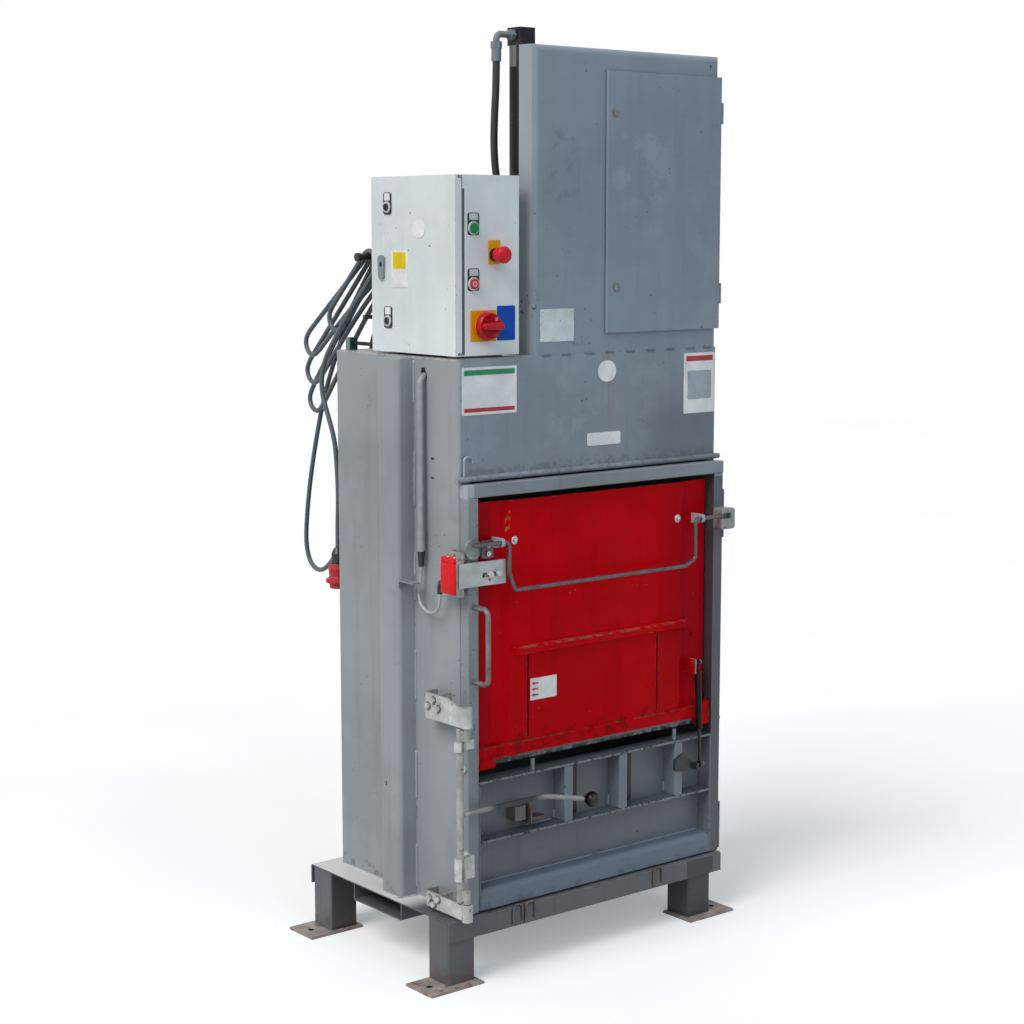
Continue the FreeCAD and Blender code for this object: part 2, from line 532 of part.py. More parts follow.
gear = [prism("yz", [(y, z - 20, 3), (y + 43, z - 20, 3), (y + 43, z + 60, 3), (y, z + 60, 3)],
              cab_in - 75, cab_in - 20) for y, z in ((cab_y0 + 60, cab_z0 + 120),
                                                    (cab_y0 + 115, cab_z0 + 120),
                                                    (cab_y0 + 170, cab_z0 + 120),
                                                    (cab_y0 + 60, cab_z0 + 255),
                                                    (cab_y0 + 115, cab_z0 + 255))]
put("box_internals", *(rail + gear))
blocks = [box((x - 15, x + 15), (face + 9, face + 45), (z - 20, z + 20))
          for x, z in ((btn_x, green_z), (btn_x, red_z), (stop_x, stop_z))]
blocks.append(box((main_x - 24, main_x + 24), (face + 5, face + 55), (main_z - 24, main_z + 24)))
hangers = [box((b.BoundBox.XMin, b.BoundBox.XMax), (face + cab_t, b.BoundBox.YMin),
               (b.BoundBox.ZMin, b.BoundBox.ZMin + 4)) for b in blocks]
put("box_internals", *[fuse(b, h) for b, h in zip(blocks, hangers)])
put("box_fittings", *[box((cab_x0 + 28, cab_x1 - 20), (y, y + 30), (top, cab_z0))
                  for y in (cab_y0 + 38, cab_y1 - 60)])

# ---- conduit, flex and safety switch -------------------------------------------------------------
cx, cy = left - 15, -75.0
put("conduit", bent([(cx, cy, 1037), (cx, cy, hole_z - 9), (left + 3, hole_y + 0.8, hole_z + 1.5)],
                         16.0, 17.0))
put("conduit", rod((cx, cy, 987), (cx, cy, 1037), 9.5), cone((cx, cy, 952), (cx, cy, 987), 6.5, 9.0))
tab = fuse(box((left - post_out, left - 25), (py0 - 3, py0), (899, 917)),
           prism("xy", [(left - post_out, py0), (left - post_out, py0 - 55, 6),
                        (left - 25, py0 - 55, 6), (left - 25, py0)], 914, 917))
put("wall_brackets", tab)
sw_x0, sw_x1, sw_z0, sw_z1 = left - 44, left - 18.5, 909.0, 992.0
sw_back, sw_front = front + 11, front - 40
body = prism("xy", [(sw_x0, sw_back, 4), (sw_x0, sw_front, 3), (sw_x1, sw_front, 3),
                    (sw_x1, sw_back, 4)], sw_z0, sw_z1)
gl_x, gl_y = left - 30, front + 31
put("safety_switch", fuse(body, box((sw_x0 + 3, sw_x1 - 3), (sw_back, front + 45), (sw_z0, sw_z0 + 40)),
                          rod((gl_x, gl_y, sw_z0 - 6), (gl_x, gl_y, sw_z0), 6.5)))
put("wall_brackets", sheet_metal(
    "xy", [(left, front + 9), (sw_x1 + 2, front + 9), (sw_x1 + 2, sw_front - 2),
           (left - 38, sw_front - 2)][::-1], 2.0, 2.5, sw_z0 - 6, sw_z1 + 11))
flex_pts = [(cx, cy, 952), (cx, cy, 927), (-366.5, -66, 899), (-369, -72, 869), (-371, -97, 852),
            (-373.5, -127, 850), (-377, -153, 862), (gl_x, gl_y, 881), (gl_x, gl_y, sw_z0 - 6)]
cord("switch_flex", flex_pts, flex_d)

# ---- lock straps on the left wall ---------------------------------------------------------------
strap_x = left - strap_out
eyes, bolts, stands = [], [], []
for k, (z0, z1) in enumerate(strap_zs):
    back_y = -128.0
    ez0, ez1 = (z0 - 3, z1 + 3) if k == 0 else (z0, z0 + 46)
    drop = 0 if k == 0 else z1 - ez1
    bar = prism("yz", [(back_y, z0), (back_y, z1), (-205, z1), (-240, z1 - drop),
                       (eye_y + 4, z1 - drop), (eye_y + 4, z0)], strap_x, strap_x + strap_t)
    eye = rod((eye_x, eye_y, ez0), (eye_x, eye_y, ez1), eye_r)
    e = fuse(bar, eye).cut(rod((eye_x, eye_y, ez0 - 1), (eye_x, eye_y, ez1 + 1),
                               lock_pin_r + 1.0))
    eyes.append(e)
    zz = ((z0 + 18, -129 - 9), (z0 + 5, -152), (z0 + 2 + 6, -168)) if k == 0 else \
        ((z0 + 29, -138), (z1 - 13, -158), (z0 + 28, -176))
    zz = ((z0 + 21, -140), (z0 + 10, -157)) + ((z1 - 9, -172),) if k == 0 else zz
    for z, y in zz:
        bolts.append(hexagon((strap_x, y, z), (strap_x - 7, y, z), 13.0))
    u = sheet_metal("xy", [(left, -169), (strap_x + strap_t, -169), (strap_x + strap_t, -112),
                           (left, -112)][::-1], 4.0, 6.0, z0, z1)
    stands.append(u)
put("strap_eyes", *eyes)
put("wall_brackets", *stands)
put("strap_eyes", *bolts)

# ---- main door ----------------------------------------------------------------------------------
rail_z = door_z1 - tube
for tag, x0 in (("left", d_left), ("right", in_right)):
    put("door_stile_" + tag, prism("xy", [(x0, door_front, 3), (x0 + tube, door_front, 3),
                                          (x0 + tube, door_back, 3), (x0, door_back, 3)],
                                   door_z0, rail_z))
put("door_rail_top", prism("yz", [(door_front, rail_z, 3), (door_back, rail_z, 3),
                                  (door_back, door_z1, 3), (door_front, door_z1, 3)],
                           d_left, d_right))
panel = sheet_metal("xy", [(in_left, door_front), (in_left, panel_y + skin),
                           (in_right, panel_y + skin), (in_right, door_front)][::-1],
                    skin, skin + 1, door_z0 + 3, lower_top - rib_t)
put("door_lower_panel", panel)
rib_back = panel_y
top_rib = prism("yz", [(rib_back + skin, lower_top - rib_t), (rib_back + skin, lower_top),
                       (door_front, lower_top, 2.9), (door_front, lower_top - rib_t, 2.9)],
                in_left, in_right)
low_rib = prism("xy", [(in_left + skin + 1, rib_back), (in_left + skin, rib_back - 1),
                       (in_left + skin, door_front + 12, 6), (in_left + skin + 14, door_front, 8),
                       (in_right - skin, door_front), (in_right - skin, rib_back - 1),
                       (in_right - skin - 1, rib_back)], rib_z, rib_z + rib_t)
put("door_ribs", top_rib, low_rib)
gus = []
for x in (-38.0, 135.0, 318.0):
    g = sheet_metal("xy", [(x - 22, rib_back), (x - 22, door_front + 1), (x + 4, door_front + 1),
                           (x + 4, door_front + 12)], 3.0, 4.0,
                    rib_z + rib_t, lower_top - rib_t)
    gus.append(g)
put("door_ribs", *gus)
sill = prism("yz", [(rib_back, door_z0), (rib_back, door_z0 + sill_h),
                    (door_front, door_z0 + sill_h, 15), (door_front, door_z0, 3)],
             in_left + skin + 1, in_right - skin - 1)
put("door_sill", sill)
tabs = [box((x, x + 9), (door_front + 3, door_front + 7), (lower_top, lower_top + 30))
        for x in (-161.0, 291.0)]
put("door_ribs", *tabs)
hx_ = d_left + tube / 2 + 1
hy_ = door_front - handle_out + handle_d / 2
put("d_handle", bent([(hx_, door_front, handle_z0), (hx_, hy_, handle_z0), (hx_, hy_, handle_z1),
                      (hx_, door_front, handle_z1)], handle_d, 16.0))
kn, bl = [], []
for z in hinge_zs:
    k0, k1 = z + knuckle + 0.5, z + hinge_len - knuckle - 0.5
    leaf = box((d_right, d_right + 4), (door_front, door_front + 27), (z, z + hinge_len))
    arm = prism("xy", [(d_right, door_front + 2), (d_right + 5, door_front + 2),
                       (hinge_x - 1, door_front + 31), (hinge_x - 1, hinge_y),
                       (hinge_x - 8.7, hinge_y), (hinge_x - 8.7, door_back),
                       (d_right, door_back - 4)], k0, k1)
    kk = fuse(leaf, arm, rod((hinge_x, hinge_y, k0), (hinge_x, hinge_y, k1), hinge_r))
    kn.append(kk.cut(rod((hinge_x, hinge_y, z), (hinge_x, hinge_y, z + hinge_len), pin_r + fit)))
    plate = box((right, right + 4), (hinge_y + 12, hinge_y + 60), (z, z + hinge_len))
    parts = [plate, rod((hinge_x, hinge_y, z), (hinge_x, hinge_y, z + hinge_len), pin_r)]
    for a, b in ((z, z + knuckle), (z + hinge_len - knuckle, z + hinge_len)):
        parts.append(rod((hinge_x, hinge_y, a), (hinge_x, hinge_y, b), hinge_r))
        parts.append(prism("xy", [(right, hinge_y + 12), (right, hinge_y + 4),
                                  (hinge_x - 8, hinge_y), (hinge_x, hinge_y),
                                  (hinge_x, hinge_y + 8.9), (right + 4, hinge_y + 12)], a, b))
    bl.append(fuse(*parts))
put("door_hinges", *kn)
put("fixed_hinges", *bl)
# catch block with its slot open to the front, and the round boss on the left
cb_x0, cb_x1 = flap_x1 + 2, right + 10
cb = prism("xz", [(cb_x0, bail_z - 33, 4), (cb_x1, bail_z - 33, 8), (cb_x1, bail_z + 19, 8),
                  (cb_x0, bail_z + 19, 4)], bail_y - 8, door_front)
slot_h = bail_d + 4
cb = cb.cut(box((cb_x0 - 1, cb_x1 - 14), (bail_y - 9, bail_y + bail_d / 2 + 1.0),
                (bail_z - slot_h / 2, bail_z + slot_h / 2)))
put("door_catches", cb)
put("door_catches", rod((d_left + 10, door_front - 7.5, bail_z - 11), (d_left + 10, door_front, bail_z - 11), 23.0))
catch = fuse(prism("xy", [(-205, rib_back), (-205, door_front + 8, 4), (-172, door_front + 8, 4),
                          (-172, rib_back)], 352, 386),
             box((-172, -161), (rib_back - 6, rib_back), (349, 389)),
             prism("yz", [(rib_back, 340), (door_front, 340), (door_front, 376, 6),
                          (door_front + 10, 392, 6), (rib_back, 392)], -165, -161),
             prism("xy", [(-161, rib_back - 4), (-161, door_front + 12), (-114, door_front + 12, 5),
                          (-108, door_front + 22, 4), (-114, rib_back - 4, 4)], 345, 351))
put("door_catches", catch)
sy_, sz_ = strut_low
ax0, ax1 = strut_x - 80, strut_x - 11
arm = prism("xz", [(ax0, sz_ + 20, 5), (ax0 + 28, sz_ + 34, 8), (ax1, sz_ - 2, 8),
                   (ax1, sz_ - 14, 5), (ax0 + 32, sz_ - 12, 5), (ax0, sz_ - 8, 5)],
            door_front - 6, door_front + 1)
arm = arm.fuse(box((ax1 - 8, ax1), (sy_ - 8, door_front), (sz_ - 11, sz_ - 3 + 8)))
stud_r = 4.0
put("door_catches", fuse(arm, rod((ax1, sy_, sz_), (strut_x + 8, sy_, sz_), stud_r),
                      rod((strut_x + 5.6, sy_, sz_), (strut_x + 9, sy_, sz_), 6.0)))
lugs = []
for z0, z1 in ((255.0, 307.0), (556.0, 578.0)):
    s = fuse(box((crank_x, d_left), (crank_y, crank_y + 12), (z0, z1)),
             rod((crank_x, crank_y, z0), (crank_x, crank_y, z1), crank_r + 5),
             box((d_left - 6, d_left), (crank_y, door_front + 26), (z0, z1)))
    s = s.cut(rod((crank_x, crank_y, z0 - 1), (crank_x, crank_y, z1 + 1), crank_r + fit))
    lugs.append(s.cut(box((crank_x - 5, crank_x + 5), (crank_y - 20, crank_y), (z0 - 1, z1 + 1))))
put("crank_lugs", *lugs)
ax = (flap_axis_y, flap_axis_z)
pv = []
for x0, x1, hx0, hx1 in ((in_left, in_left + 33, d_left, d_left - 5),
                         (in_right, in_right - 33, d_right, d_right + 7)):
    pv.append(rod((x0, *ax), (x1, *ax), pin_r))
    pv.append(hexagon((hx0, *ax), (hx1, *ax), 16.0))
put("flap_pivots", *pv)

# ---- flap -----------------------------------------------------------------------------------------
m0, m1 = flap_x0 + 96, flap_x1 - 93
flap = sheet_metal("xy", [(flap_x0, flap_y + 9), (flap_x0, flap_y), (m0 - 20, flap_y),
                          (m0, flap_mid), (m1, flap_mid), (m1 + 25, flap_y),
                          (flap_x1, flap_y), (flap_x1, flap_y + 9)], flap_t, flap_t + 1.5,
                   flap_z0, flap_z1)
for x in slot_xs:
    flap = flap.cut(box((x - slot_w / 2, x + slot_w / 2), (flap_mid - 1, flap_mid + flap_t + 1),
                        (slot_z0, slot_z1)))
put("flap_panel", flap)
rail_f = prism("xy", [(flap_x0, flap_mid - 3), (flap_x1, flap_mid - 3), (flap_x1, flap_y),
                      (m1 + 25, flap_y, 9), (m1, flap_mid), (m0, flap_mid), (m0 - 20, flap_y, 9),
                      (flap_x0, flap_y)], flap_z0, flap_z0 + 29)
bx1 = flap_x0 + 45
left_b = fuse(rod((flap_x0, *ax), (bx1, *ax), barrel_r),
              box((flap_x0, bx1), (ax[0] - 5, ax[0] + 5), (ax[1] + 5, flap_z0)))
left_b = left_b.cut(rod((flap_x0 - 1, *ax), (bx1 + 1, *ax), pin_r + fit))
rx0 = flap_x1 - 33
right_b = prism("yz", [(flap_y, ax[1] - 6, 3), (flap_y, flap_z0 + 40, 3),
                       (flap_mid - 11, flap_z0 + 40, 5), (ax[0] - 11, ax[1] - 9, 9),
                       (ax[0] + 6, ax[1] - 11, 5)], rx0, flap_x1)
right_b = right_b.cut(box((rx0 - 1, flap_x1 + 1), (flap_mid - 3, flap_y + 1),
                          (flap_z0, flap_z0 + 29.0)))
right_b = right_b.cut(rod((rx0 - 1, *ax), (flap_x1 + 1, *ax), pin_r + fit))
put("flap_rail", rail_f)
put("flap_lugs", left_b, right_b)
put("flap_rail", prism("xy", [(m0 + 12, flap_mid - 15, 3), (m1 + 24, flap_mid - 15, 3),
                             (m1 + 24, flap_y - 0.08 * raise_y),
                             (m1 + 23, flap_y - 0.08 * raise_y), (m1, flap_mid),
                             (m0 + 12, flap_mid)], slot_z1 + 6, slot_z1 + 23))
bolt_at = ((-238.0, 524.0, flap_mid - 3), (-115.0, 530.0, flap_mid - 3), (strut_x + 2, 720.0, flap_y))
put("flap_rail", *[hexagon((x, y, z), (x, y - 5, z), 10.0) for x, z, y in bolt_at[1:]])
act_y, act_z0 = -241.0, 924.0
web = sheet_metal("yz", [(flap_y, act_z0 + 42), (act_y, act_z0 + 42), (act_y, act_z0 + 12),
                         (flap_y, act_z0 + 12)], 3.0, 4.5, -310, -256)
act = box((-383, -252), (act_y - 3, act_y), (act_z0, act_z0 + 55))
act = act.cut(box((-319, -264), (act_y - 4, act_y + 1), (act_z0 + 19, act_z0 + 25)))
put("actuator_bracket", act, web)
put("actuator_bracket", *[hexagon((x, act_y - 3, act_z0 + 24), (x, act_y - 10, act_z0 + 24), 11.0)
                        for x in (-297, -274)])
ear = []
br = bail_d / 2
for x in (bail_x0 - 24, bail_x1 + 19):
    e = fuse(rod((x, bail_y, bail_z), (x + 6, bail_y, bail_z), br + 5),
             prism("yz", [(flap_y, bail_z - 16), (flap_y, bail_z + 10), (bail_y, bail_z + 9.9),
                          (bail_y, bail_z - 9.9)], x, x + 6))
    ear.append(e.cut(rod((x - 1, bail_y, bail_z), (x + 7, bail_y, bail_z), br + fit)))
put("flap_lugs", *ear)
uy, uz = strut_up
lx1 = strut_x - 12
lug = fuse(box((lx1 - 6, lx1), (uy - 9, flap_y), (uz - 26, uz + 10)),
           box((m1 + 26, lx1), (flap_y - 4, flap_y), (uz - 26, uz + 10)),
           rod((lx1, uy, uz), (strut_x + 8, uy, uz), stud_r),
           rod((strut_x + 5.6, uy, uz), (strut_x + 9, uy, uz), 6.0),
           hexagon((lx1 - 6, uy, uz), (lx1 - 13, uy, uz), 12.0))
put("flap_lugs", lug)

# ---- bail ------------------------------------------------------------------------------------------
bar_z = bail_z - bail_drop
put("bail", bent([(d_left, bail_y, bail_z), (bail_x0, bail_y, bail_z),
                      (bail_x0, bail_y, bail_z - 70), (bail_x0 + 17, bail_y, bar_z),
                      (bail_x1 - 33, bail_y, bar_z), (bail_x1, bail_y, bar_z + 15),
                      (bail_x1, bail_y, bail_z), (right - 30, bail_y, bail_z)], bail_d, 12.0))
kp = box((-320, -289), (bail_y + 6, bail_y + 11), (bail_z - 32, bail_z + 8))
kp = kp.fuse(box((-320, -289), (bail_y, bail_y + 6), (bail_z - 4, bail_z + 4)))
kp = kp.cut(rod((-321, bail_y, bail_z), (-288, bail_y, bail_z), br)).removeSplitter()
put("bail", kp)

# ---- gas strut ------------------------------------------------------------------------------------
up, low = V(strut_x, *strut_up), V(strut_x, *strut_low)
line = (low - up).normalize()
reach = (low - up).Length


def along(s):
    q = up + line * s
    return (q.x, q.y, q.z)


def rod_eye(c):
    return rod((strut_x - 5, c.y, c.z), (strut_x + 5, c.y, c.z), 8.0)


t_end = 167.0
tub = fuse(rod(along(7), along(24), 4.5), rod(along(22), along(t_end), strut_d / 2))
tub = fuse(tub, rod_eye(up)).cut(rod(along(34), along(t_end + 1), strut_bore / 2))
tub = tub.cut(rod((strut_x - 6, up.y, up.z), (strut_x + 6, up.y, up.z), stud_r + fit))
put("strut_tube", tub)
srod = rod(along(reach - 15), along(reach - strut_rod_l), strut_rod_d / 2).fuse(
    rod(along(reach - 6), along(reach - 15), 4.8)).fuse(rod_eye(low))
srod = srod.cut(rod((strut_x - 6, low.y, low.z), (strut_x + 6, low.y, low.z), stud_r + fit))
put("strut_rod", srod)

# ---- lock crank ------------------------------------------------------------------------------------
ct = rod((crank_x, crank_y, crank_z0), (crank_x, crank_y, crank_z1), crank_r)
parts = [ct]
for z0, z1 in ((crank_z0, crank_z0 + lock_pin_h), (strap_zs[1][0] - 1.5 - lock_pin_h,
                                                  strap_zs[1][0] - 1.5)):
    parts.append(rod((eye_x, eye_y, z0), (eye_x, eye_y, z1), lock_pin_r))
    w0, w1 = (z0 + 5, z1) if z0 < 300 else (z0, z1 - 5)
    a = math.atan2(eye_y - crank_y, eye_x - crank_x)
    nx, ny = -math.sin(a) * 5, math.cos(a) * 5
    parts.append(prism("xy", [(crank_x + nx, crank_y + ny), (crank_x - nx, crank_y - ny),
                              (eye_x - nx, eye_y - ny), (eye_x + nx, eye_y + ny)], w0, w1))
put("lock_crank", fuse(*parts))
ball = (crank_x + 339, crank_y - 64, lever_z - 9)
tip = V(*ball)
kink = V(crank_x + 248, crank_y, lever_z)
end = tip + (kink - tip).normalize() * (ball_r - 3)
lev = bent([(crank_x + crank_r - 0.5, crank_y, lever_z), (kink.x, kink.y, kink.z),
            (end.x, end.y, end.z)], lever_d, 40.0)
lev = lev.cut(ct)
put("lock_crank", lev)
knob = Part.makeSphere(ball_r, tip).cut(rod((end.x, end.y, end.z), (kink.x, kink.y, kink.z),
                                            lever_d / 2))
put("lock_crank", knob)

# ---- supply cable: hook, hank, free stretches, plug ---------------------------------------------------
tail_x = left + 6.0
arm_x1 = tail_x + 5 * pitch + 14
put("cable_hook",
    rod((left - 6, hook_y, hook_z), (arm_x1, hook_y, hook_z), hook_d / 2),
    rod((left - 6, hook_y, hook_z), (left - 16, hook_y, hook_z), 10.0),
    fuse(box((arm_x1, arm_x1 + 5), (cab_y1 + 3, hook_y + 10), (hook_z - 12, hook_z + 12)),
         box((arm_x1, arm_x1 + 34), (cab_y1, cab_y1 + 3), (hook_z - 12, hook_z + 12))),
    fuse(rod((left - 12, cab_y1 + 15, cab_z0 + 77), (left + 50, cab_y1 + 15, cab_z0 + 77), 5.0),
         box((left + 44, left + 52), (cab_y1, cab_y1 + 15), (cab_z0 + 72, cab_z0 + 82))))
hub = (hook_y, hook_z + hook_d / 2 + seat - (turn_r - cable_d / 2))
tips = ((165.2, -158.2), (293.1, -220.2), (306.2, -293.4), (314.7, -367.2))   # from the hub
tip_r = 31.0


def dirs(deg):
    a = math.radians(deg)
    return (math.cos(a), math.sin(a)), (-math.sin(a), math.cos(a))


def on(c, d, n, s, m, x):
    return V(x, c[0] + d[0] * s + n[0] * m, c[1] + d[1] * s + n[1] * m)


edges = []
d, n = dirs(-48)
start_s, cable_r = 225.0, cable_d / 2
tail_end = on(hub, d, n, start_s, -turn_r, tail_x)
tail_dir = V(0, d[0], d[1])
near, far = 30.0, 150.0   # where each strand climbs to the next place on the arm


def climb(a, b):
    """Straight strand from a to b that moves over by one pitch near b."""
    length = (b - a).Length
    u = (b - a) * (1 / length)
    q0, q1 = a + u * (length - far), a + u * (length - near) + V(pitch, 0, 0)
    qm, run_ = (q0 + q1) * 0.5, far - near
    rr = (run_ ** 2 + pitch ** 2) / (4 * pitch)
    ang = math.asin(run_ / 2 / rr)
    h, v = V(rr * (1 - math.cos(ang / 2)), 0, 0), u * (rr * math.sin(ang / 2))
    edges.append(Part.LineSegment(a, q0).toShape())
    edges.append(Part.Arc(q0, q0 + v + h, qm).toShape())
    edges.append(Part.Arc(qm, q1 - v - h, q1).toShape())
    edges.append(Part.LineSegment(q1, b + V(pitch, 0, 0)).toShape())
    return b + V(pitch, 0, 0)


prev = climb(tail_end, on(hub, d, n, 0, -turn_r, tail_x))
for k, (ty, tz) in enumerate(tips):
    ty, tz = hub[0] + ty, hub[1] + tz
    x = tail_x + pitch * (k + 1)
    a = math.degrees(math.atan2(tz - hub[1], ty - hub[0]))
    reach_k = math.hypot(ty - hub[0], tz - hub[1]) - tip_r - cable_r
    beta = math.asin((tip_r - turn_r) / reach_k)
    (dx, dz), (px, pz) = dirs(a)
    c2 = (hub[0] + dx * reach_k, hub[1] + dz * reach_k)

    def touch(c, r, side, xx):
        m = (-math.sin(beta) * dx + side * math.cos(beta) * px,
             -math.sin(beta) * dz + side * math.cos(beta) * pz)
        return V(xx, c[0] + r * m[0], c[1] + r * m[1])

    back = V(x, hub[0] - dx * turn_r, hub[1] - dz * turn_r)
    out = touch(hub, turn_r, 1, x)
    edges.append(Part.Arc(prev, back, out).toShape())
    tip_a = touch(c2, tip_r, 1, x)
    edges.append(Part.LineSegment(out, tip_a).toShape())
    tip_b = touch(c2, tip_r, -1, x)
    edges.append(Part.Arc(tip_a, V(x, c2[0] + dx * tip_r, c2[1] + dz * tip_r), tip_b).toShape())
    prev = climb(tip_b, touch(hub, turn_r, -1, x))
d, n = dirs(-48)
x = tail_x + pitch * 5
out = on(hub, d, n, 0, turn_r, x)
edges.append(Part.Arc(prev, V(x, hub[0] - d[0] * turn_r, hub[1] - d[1] * turn_r), out).toShape())
drop_end = on(hub, d, n, 150.0, turn_r, x)
edges.append(Part.LineSegment(out, drop_end).toShape())
hank_wire = Part.Wire(edges)
hank = swept(hank_wire, cable_d)
pts, run = [], 0.0
for e in edges:
    k = max(2, int(e.Length / 4))
    for i in range(k):
        q = e.valueAt(e.FirstParameter + (e.LastParameter - e.FirstParameter) * i / k)
        pts.append((run + e.Length * i / k, q))
    run += e.Length
least = min(pts[i][1].distanceToPoint(pts[j][1]) for i in range(len(pts))
            for j in range(i + 1, len(pts)) if pts[j][0] - pts[i][0] > 60)
print("hank: length %.0f, volume ratio %.4f, least gap to itself %.2f" % (
    run, hank.Volume / (math.pi * cable_r ** 2 * run), least - cable_d))
put("cable_hank", hank)

drop_dir = V(0, d[0], d[1])
t1 = tail_end + tail_dir * 55
plug_x, plug_y = left + 20, rear + 36
collar_top = 943.0
tail_pts = [tuple(tail_end), tuple(t1), (tail_x, t1.y + 22, t1.z - 52), (tail_x, t1.y + 17, t1.z - 100),
            (tail_x + 1, t1.y - 8, t1.z - 150), (tail_x + 3, t1.y - 30, t1.z - 205),
            (tail_x + 5, t1.y - 35, t1.z - 270), (plug_x - 2, plug_y - 8, 1060),
            (plug_x, plug_y, 1000), (plug_x, plug_y, collar_top)]
cord("cable_tail", tail_pts, cable_d)
gland_x, gland_z = -236.0, cab_z0 + 46
d1 = drop_end + drop_dir * 75
sag = [(0, 204, 1440), (0, 253, 1355), (0, 294, 1262), (0, 325, 1165), (0, 349, 1075), (1, 366, 990),
       (2, 373, 920), (3, 356, 872), (5, 317, 856), (7, 278, 874), (9, 238, 919), (12, 192, 974),
       (16, 150, 1040), (22, 131, 1120), (30, 128, 1215), (38, 132, 1310), (44, 136, 1400)]
drop_pts = [tuple(drop_end), tuple(d1)] + [(x + dx, hook_y + dy, z) for dx, dy, z in sag] + [
    (gland_x, hook_y + 124, 1462), (gland_x, hook_y + 80, 1487), (gland_x, hook_y + 33, gland_z),
    (gland_x, cab_y1 + 27, gland_z)]
cord("cable_drop", drop_pts, cable_d)
put("box_fittings", fuse(hexagon((gland_x, cab_y1, gland_z), (gland_x, cab_y1 + 8, gland_z), 22.0),
                        cone((gland_x, cab_y1 + 8, gland_z), (gland_x, cab_y1 + 27, gland_z), 11.0, 8.0)))
put("plug", fuse(rod((plug_x, plug_y, 906), (plug_x, plug_y, 930), 16.0),
                        cone((plug_x, plug_y, 930), (plug_x, plug_y, collar_top), 16.0, 9.0)))
shape = Part.Face(outline("xz", [(0, 906), (20, 906, 3), (24, 892, 4), (22, 872, 3), (30, 866, 2),
                                 (30, 858, 2), (22, 856), (21, 844), (0, 844)], 0))
plug = shape.revolve(V(0, 0, 0), V(0, 0, 1), 360)
plug.translate(V(plug_x, plug_y, 0))
put("plug", plug)
gx, gy = left + 27, rear - 24
put("box_fittings", prism("xy", [(gx - 11.5, gy - 9, 2), (gx + 11.5, gy - 9, 2), (gx + 11.5, gy + 10, 2),
                                 (gx - 11.5, gy + 10, 2)], top, top + 30),
    rod((gx, gy - 9, top + 17), (gx, cab_y1, top + 17), 4.5))

# ---- write ------------------------------------------------------------------------------------------
facets = 0
for name, solids in nodes.items():
    for s in solids:
        if not s.isValid() or s.Volume <= 0 or len(s.Solids) != 1:
            print("CHECK", name, s.isValid(), round(s.Volume), len(s.Solids))
    shape = solids[0] if len(solids) == 1 else Part.makeCompound(solids)
    count = len(shape.tessellate(0.35)[1])
    facets += count
    if count > 600:
        print("facets", name, count)
    shape.exportStep("parts/%s.step" % name)
allof = Part.makeCompound([s for n_, v in nodes.items() for s in v
                           if n_ not in ("cable_hank", "cable_drop", "cable_tail", "plug",
                                         "switch_flex")])
bb = allof.BoundBox
print("nodes", len(nodes), "solids", sum(len(v) for v in nodes.values()), "facets", facets)
print("box", [round(v, 2) for v in (bb.XMin, bb.XMax, bb.YMin, bb.YMax, bb.ZMin, bb.ZMax)])
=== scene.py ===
"""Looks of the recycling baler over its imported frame. Metres, Z up."""
import math
import random
import bpy
import bmesh
from mathutils import Matrix, Vector


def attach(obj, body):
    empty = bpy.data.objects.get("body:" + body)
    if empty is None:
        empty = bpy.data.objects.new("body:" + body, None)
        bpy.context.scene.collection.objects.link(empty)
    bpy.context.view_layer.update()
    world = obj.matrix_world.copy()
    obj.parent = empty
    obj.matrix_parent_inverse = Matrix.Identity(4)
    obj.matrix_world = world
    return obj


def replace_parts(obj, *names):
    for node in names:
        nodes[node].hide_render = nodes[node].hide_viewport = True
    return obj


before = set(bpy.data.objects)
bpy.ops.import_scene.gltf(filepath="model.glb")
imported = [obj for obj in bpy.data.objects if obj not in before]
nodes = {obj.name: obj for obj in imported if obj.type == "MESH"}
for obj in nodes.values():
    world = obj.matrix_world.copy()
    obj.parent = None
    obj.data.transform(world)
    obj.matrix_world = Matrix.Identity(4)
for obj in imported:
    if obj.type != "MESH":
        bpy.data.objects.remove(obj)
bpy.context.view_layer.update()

scene = bpy.context.scene

# ---- camera: fitted to the photograph -------------------------------------------------
lens = bpy.data.cameras.new("camera")
lens.lens, lens.sensor_width = 71.42, 36.0
camera = bpy.data.objects.new("camera", lens)
camera.location = (-3.082, -3.7835, 1.717)
camera.rotation_euler = (math.radians(82.07), 0.0, math.radians(-38.82))
scene.collection.objects.link(camera)
scene.camera = camera


# ---- materials ------------------------------------------------------------------------
def rgb(code, k=1.0):
    """Linear colour from an sRGB hex code, times k."""
    c = [int(code[i:i + 2], 16) / 255 for i in (0, 2, 4)]
    c = [v / 12.92 if v <= 0.04045 else ((v + 0.055) / 1.055) ** 2.4 for v in c]
    return (*[min(1.0, v * k) for v in c], 1.0)


